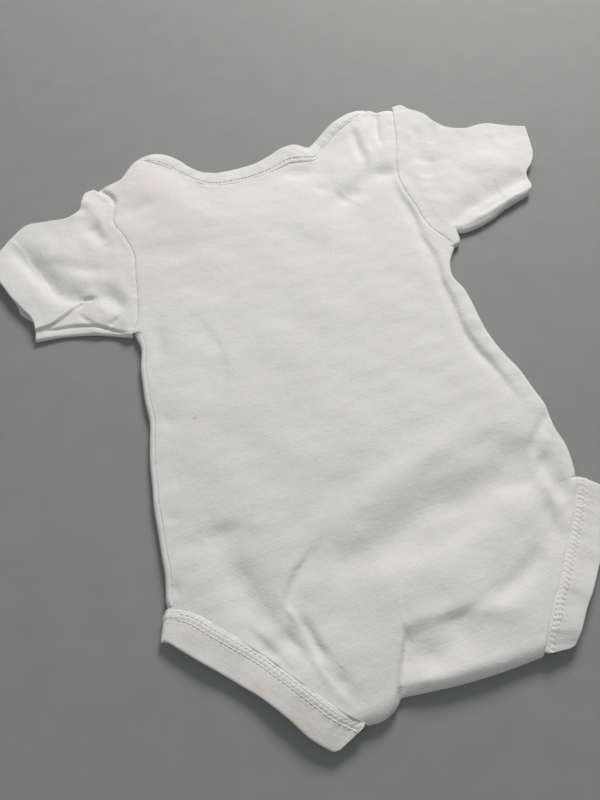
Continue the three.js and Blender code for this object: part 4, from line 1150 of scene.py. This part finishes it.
def stitch_mesh(name, paths, material, thread_radius):
    """Stitches along paths on the cloth. Each path is its points and the cloth's normals at them."""
    points, faces = [], []
    for line, normals in paths:
        along = distances_along(line)
        count = int(along[-1] / STITCH_PITCH)
        for centre in (np.arange(count) + 0.5) * STITCH_PITCH:
            place = values_at(line, along, centre)
            normal = values_at(normals, along, centre)
            forward = unit(values_at(line, along, centre + 0.5) - place)
            side = unit(np.cross(forward, normal))
            start = len(points)
            for share, size in STITCH_RINGS:
                sink = -0.3 * thread_radius - 0.25 * thread_radius * (2 * share) ** 2
                for k in range(STITCH_SIDES):
                    angle = 2 * math.pi * k / STITCH_SIDES
                    around = side * math.cos(angle) * 1.15 + normal * math.sin(angle)
                    off = around * thread_radius * size
                    points.append(place + forward * share * STITCH_PITCH * STITCH_SHARE + off + normal * sink)
            for r in range(len(STITCH_RINGS) - 1):
                for k in range(STITCH_SIDES):
                    a = start + r * STITCH_SIDES + k
                    b = start + r * STITCH_SIDES + (k + 1) % STITCH_SIDES
                    faces.append([a, b, b + STITCH_SIDES, a + STITCH_SIDES])
            last = start + (len(STITCH_RINGS) - 1) * STITCH_SIDES
            faces.append([start + k for k in range(STITCH_SIDES)][::-1])
            faces.append([last + k for k in range(STITCH_SIDES)])
    return add_mesh(name, np.array(points), faces, material)


def path_at(grid, normals, row, lift=0.0):
    """The path at a place between two rows of a grid, lifted off the surface, and the normals along it."""
    low = int(row)
    line, normal = (mix(values[low], values[low + 1], row - low) for values in (grid, normals))
    return line + normal * lift, normal


def strip_path(grid, width, row):
    """The path of a row of stitches along a strip, from its distance to the strip's inner edge."""
    column = (row - RIB / 2) / (width - RIB) * (STRIP_TOP_POINTS - 1)
    normals = surface_normals(grid, True)
    return path_at(grid.swapaxes(0, 1), normals.swapaxes(0, 1), max(column, 0.5), STITCH_LIFT)


# Materials


class Nodes:
    """A short way to add and link shader nodes."""

    def __init__(self, name):
        self.material = bpy.data.materials.new(name)
        self.material.use_nodes = True
        self.tree = self.material.node_tree
        self.tree.nodes.clear()

    def add(self, kind, inputs=None, **settings):
        made = self.tree.nodes.new("ShaderNode" + kind)
        for key, value in settings.items():
            setattr(made, key, value)
        for key, value in (inputs or {}).items():
            if isinstance(value, bpy.types.NodeSocket):
                self.tree.links.new(value, made.inputs[key])
            else:
                made.inputs[key].default_value = value
        return made

    def noise(self, place, scale, detail, roughness=0.5):
        inputs = {"Vector": place, "Scale": scale, "Detail": detail, "Roughness": roughness}
        return self.add("TexNoise", inputs).outputs["Fac"]

    def wave(self, place, scale, direction):
        inputs = {"Vector": place, "Scale": scale, "Distortion": 0.6, "Detail": 1.0, "Detail Scale": 1.5}
        return self.add("TexWave", inputs, bands_direction=direction).outputs["Fac"]

    def bump(self, height, strength, distance, under=None):
        """A bump, on top of an earlier one if there is one."""
        inputs = {"Strength": strength, "Distance": distance, "Height": height}
        if under:
            inputs["Normal"] = under
        return self.add("Bump", inputs).outputs["Normal"]

    def ramp(self, factor, *stops):
        made = self.add("ValToRGB", {"Fac": factor})
        elements = made.color_ramp.elements
        while len(elements) < len(stops):
            elements.new(0.5)
        for element, (position, colour) in zip(elements, stops):
            element.position = position
            element.color = (*colour, 1)
        return made.outputs["Color"]

    def surface(self, inputs):
        shader = self.add("BsdfPrincipled", inputs)
        self.add("OutputMaterial", {"Surface": shader.outputs["BSDF"]})
        return self.material


BAND_SCALE = 0.314159  # the scale at which the wave texture has one band in each unit


def knit_material(name, light, shade, wale, marks=()):
    """Fine cotton knit: wales and courses on the cut cloth, fuzz, and slow changes of colour."""
    nodes = Nodes(name)
    cut = nodes.add("UVMap", uv_map="cut").outputs["UV"]
    place = nodes.add("TexCoord").outputs["Object"]
    wales = nodes.wave(cut, BAND_SCALE / wale, "X")
    courses = nodes.wave(cut, BAND_SCALE / wale * 1.25, "Y")
    drawn = nodes.add("Mapping", {"Vector": cut, "Scale": (0.05, 0.7, 1.0)}).outputs["Vector"]
    streaks = nodes.noise(drawn, 1.0, 4.0)
    fuzz = nodes.noise(place, 900.0, 4.0, 0.65)
    pills = nodes.noise(place, 260.0, 3.0, 0.6)
    slow = nodes.noise(place, 14.0, 3.0, 0.55)

    knit = nodes.add("Math", {0: wales, 1: courses}, operation="MULTIPLY").outputs[0]
    bumps = nodes.bump(knit, 0.25, 0.0003)
    bumps = nodes.bump(streaks, 0.16, 0.0006, bumps)
    bumps = nodes.bump(pills, 0.35, 0.0008, bumps)
    bumps = nodes.bump(fuzz, 0.3, 0.0003, bumps)

    colour = nodes.ramp(slow, (0.32, shade), (0.68, light))
    grain = nodes.ramp(fuzz, (0.3, (0.955, 0.955, 0.955)), (0.7, (1, 1, 1)))
    grained = nodes.add("Mix", {"Factor": 1.0, 6: colour, 7: grain}, data_type="RGBA", blend_type="MULTIPLY")
    colour = grained.outputs[2]
    for centre, radius, tint in marks:
        offset = nodes.add("VectorMath", {0: place, 1: tuple(metres(centre))}, operation="DISTANCE")
        fade = {"Value": offset.outputs["Value"], "From Min": radius * MM, "From Max": 0.0}
        near = nodes.add("MapRange", fade, interpolation_type="SMOOTHSTEP").outputs[0]
        patch = nodes.add("Math", {0: near, 1: slow}, operation="MULTIPLY").outputs[0]
        colour = nodes.add("Mix", {"Factor": patch, 6: colour, 7: (*tint, 1)}, data_type="RGBA").outputs[2]
    return nodes.surface(
        {
            "Base Color": colour,
            "Roughness": 0.92,
            "Specular IOR Level": 0.2,
            "Sheen Weight": 0.22,
            "Sheen Roughness": 0.45,
            "Normal": bumps,
        }
    )


def thread_material():
    nodes = Nodes("thread")
    twist = nodes.noise(nodes.add("TexCoord").outputs["Object"], 2500.0, 2.0)
    colour = nodes.ramp(twist, (0.3, (0.80, 0.79, 0.765)), (0.7, (0.86, 0.85, 0.825)))
    bump = nodes.bump(twist, 0.4, 0.0001)
    return nodes.surface({"Base Color": colour, "Roughness": 0.7, "Sheen Weight": 0.2, "Normal": bump})


def metal_material():
    nodes = Nodes("snap_metal")
    grain = nodes.noise(nodes.add("TexCoord").outputs["Object"], 1800.0, 3.0)
    colour = nodes.ramp(grain, (0.3, (0.60, 0.60, 0.59)), (0.7, (0.72, 0.72, 0.70)))
    rough = nodes.add("MapRange", {"Value": grain, "To Min": 0.28, "To Max": 0.45}).outputs[0]
    return nodes.surface({"Base Color": colour, "Metallic": 1.0, "Roughness": rough})


def floor_material():
    nodes = Nodes("floor")
    grain = nodes.noise(nodes.add("TexCoord").outputs["Object"], 60.0, 4.0)
    colour = nodes.ramp(grain, (0.3, (0.265, 0.27, 0.265)), (0.7, (0.28, 0.285, 0.28)))
    return nodes.surface({"Base Color": colour, "Roughness": 0.75, "Specular IOR Level": 0.25})


BEIGE = (0.70, 0.60, 0.50)
cotton = knit_material(
    "cotton",
    (0.83, 0.82, 0.795), (0.79, 0.78, 0.755),
    wale=0.75,
    marks=[((-62, 150, 6), 90, (0.79, 0.73, 0.66)), ((-85, -7, 6), 1.9, (0.35, 0.33, 0.3))],
)
rib = knit_material(
    "rib",
    (0.83, 0.82, 0.79), (0.79, 0.775, 0.745),
    wale=0.9,
    marks=[((-76, -163, 5), 9, BEIGE), ((-92, -148, 5), 6, BEIGE)],
)
thread = thread_material()
metal = metal_material()


# Pieces


def place_cloth(piece, node):
    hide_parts(node)
    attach(piece, "root")


def add_stitches(name, paths, thread_radius=THREAD):
    stitches = stitch_mesh(name, paths, thread, thread_radius)
    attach(stitches, "root")
    return stitches


back_points, back_flat = back_grid()
back = add_cloth("back", back_points, CLOTH, cotton, back_flat)
place_cloth(back, "back_panel")

front_points, front_flat = front_grid()
front = add_cloth("front", front_points, CLOTH, cotton, front_flat)
place_cloth(front, "front_panel")

hem_row = SLEEVE_ROWS * (1 - HEM_WIDTH / SLEEVE_LENGTH)
hem_columns = slice(2, len(SLEEVE_ARCS) + SLEEVE_TOP_COLUMNS + 4)
sleeves = {}
for side, shape, hem_end in (("left", SLEEVE_LEFT, LEFT_HEM_END), ("right", SLEEVE_RIGHT, 0)):
    grid, flat = sleeve_grid(shape, side == "left")
    sleeves[side] = add_cloth("sleeve_" + side + "_cloth", grid, CLOTH, cotton, flat, closed_across=True)
    place_cloth(sleeves[side], "sleeve_" + side)
    turn = 1 if side == "left" else -1
    upper, normals = (values[:, ::turn][:, hem_columns] for values in (grid, surface_normals(grid, True)))
    paths = []
    for row in HEM_STITCH_ROWS:
        line, normal = path_at(upper, normals, hem_row + row)
        shown = line[:, 1] > hem_end
        paths.append((line[shown], normal[shown]))
    sleeves[side + "_stitches"] = add_stitches("sleeve_stitches_" + side, paths, HEM_THREAD)

inner, outer, up = neck_binding_rows()
neck_points, neck_flat = strip_grid(inner, outer, up, binding_lift)
neck = closed_strip("neck_binding", neck_points, neck_flat, rib)
place_cloth(neck, "neck_binding_back")
neck_width = np.linalg.norm(outer - inner, axis=-1).mean()
neck_stitches = add_stitches("neck_stitches", [strip_path(neck_points, neck_width, BINDING_ROW)])

inner, outer, up = front_binding_rows()
hidden_points, hidden_flat = strip_grid(inner, outer, up, plain_lift)
hidden_neck = closed_strip("front_neck_binding", hidden_points, hidden_flat, rib)
place_cloth(hidden_neck, "neck_binding_front")

bands = {}
for side, back_rows, front_rows, outward in (
    ("left", LEFT_BAND_BACK, LEFT_BAND_FRONT, -1),
    ("right", RIGHT_BAND_BACK, RIGHT_BAND_FRONT, 1),
):
    inner, outer, up = leg_band_rows(back_rows, front_rows, outward)
    grid, flat = strip_grid(inner, outer, up, top_only(band_lift, up[:, 2]))
    bands[side] = closed_strip("leg_band_" + side + "_rib", grid, flat, rib, backwards=outward > 0)
    place_cloth(bands[side], "leg_band_" + side)
    width = np.linalg.norm(outer - inner, axis=-1).mean()
    shown = int(len(grid) * STITCHED_SHARE)
    paths = []
    for row in (SEAM_ROW, SECOND_ROW):
        line, normal = strip_path(grid, width, row)
        paths.append((line[:shown], normal[:shown]))
    bands[side + "_stitches"] = add_stitches("leg_stitches_" + side, paths)

for node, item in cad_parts.items():
    if node.startswith("snap_"):
        item.data.materials.clear()
        item.data.materials.append(metal)


# Studio

FLOOR_SIZE = 3.0
FLOOR_HEIGHT = -0.05  # just below the garment, so that the two don't share a plane
floor = add_mesh(
    "floor",
    np.array([(-1, -1, 0), (1, -1, 0), (1, 1, 0), (-1, 1, 0)]) * FLOOR_SIZE / MM + (0, 0, FLOOR_HEIGHT),
    [[0, 1, 2, 3]],
    floor_material(),
    lowest=FLOOR_HEIGHT,
)


def add_light(name, place, target, size, power, colour=(1, 1, 1)):
    lamp = bpy.data.lights.new(name, "AREA")
    lamp.shape = "DISK"
    lamp.size = size
    lamp.energy = power
    lamp.color = colour
    holder = bpy.data.objects.new(name, lamp)
    holder.location = place
    holder.rotation_euler = (Vector(target) - Vector(place)).to_track_quat("-Z", "Y").to_euler()
    bpy.context.scene.collection.objects.link(holder)


add_light("key", (0.6, 0.95, 0.8), (0, 0, 0), 0.5, 17, (1.0, 0.99, 0.97))
add_light("fill", (-0.7, -0.5, 1.1), (0, 0, 0), 1.2, 2, (0.97, 0.98, 1.0))

world = bpy.data.worlds.new("studio")
world.use_nodes = True
world.node_tree.nodes["Background"].inputs["Color"].default_value = (0.9, 0.92, 0.95, 1)
world.node_tree.nodes["Background"].inputs["Strength"].default_value = 0.25
bpy.context.scene.world = world

CAMERA_PLACE = (-76.4, -155.7, 308.0)
CAMERA_FORWARD = (0.1355, 0.4003, -0.9063)
lens = bpy.data.cameras.new("camera")
lens.lens = 27
lens.sensor_width = 36
lens.clip_start = 0.01
camera = bpy.data.objects.new("camera", lens)
camera.location = Vector(CAMERA_PLACE) * MM
camera.rotation_euler = Vector(CAMERA_FORWARD).to_track_quat("-Z", "Y").to_euler()
bpy.context.scene.collection.objects.link(camera)
bpy.context.scene.camera = camera
bpy.context.scene.view_settings.view_transform = "Standard"
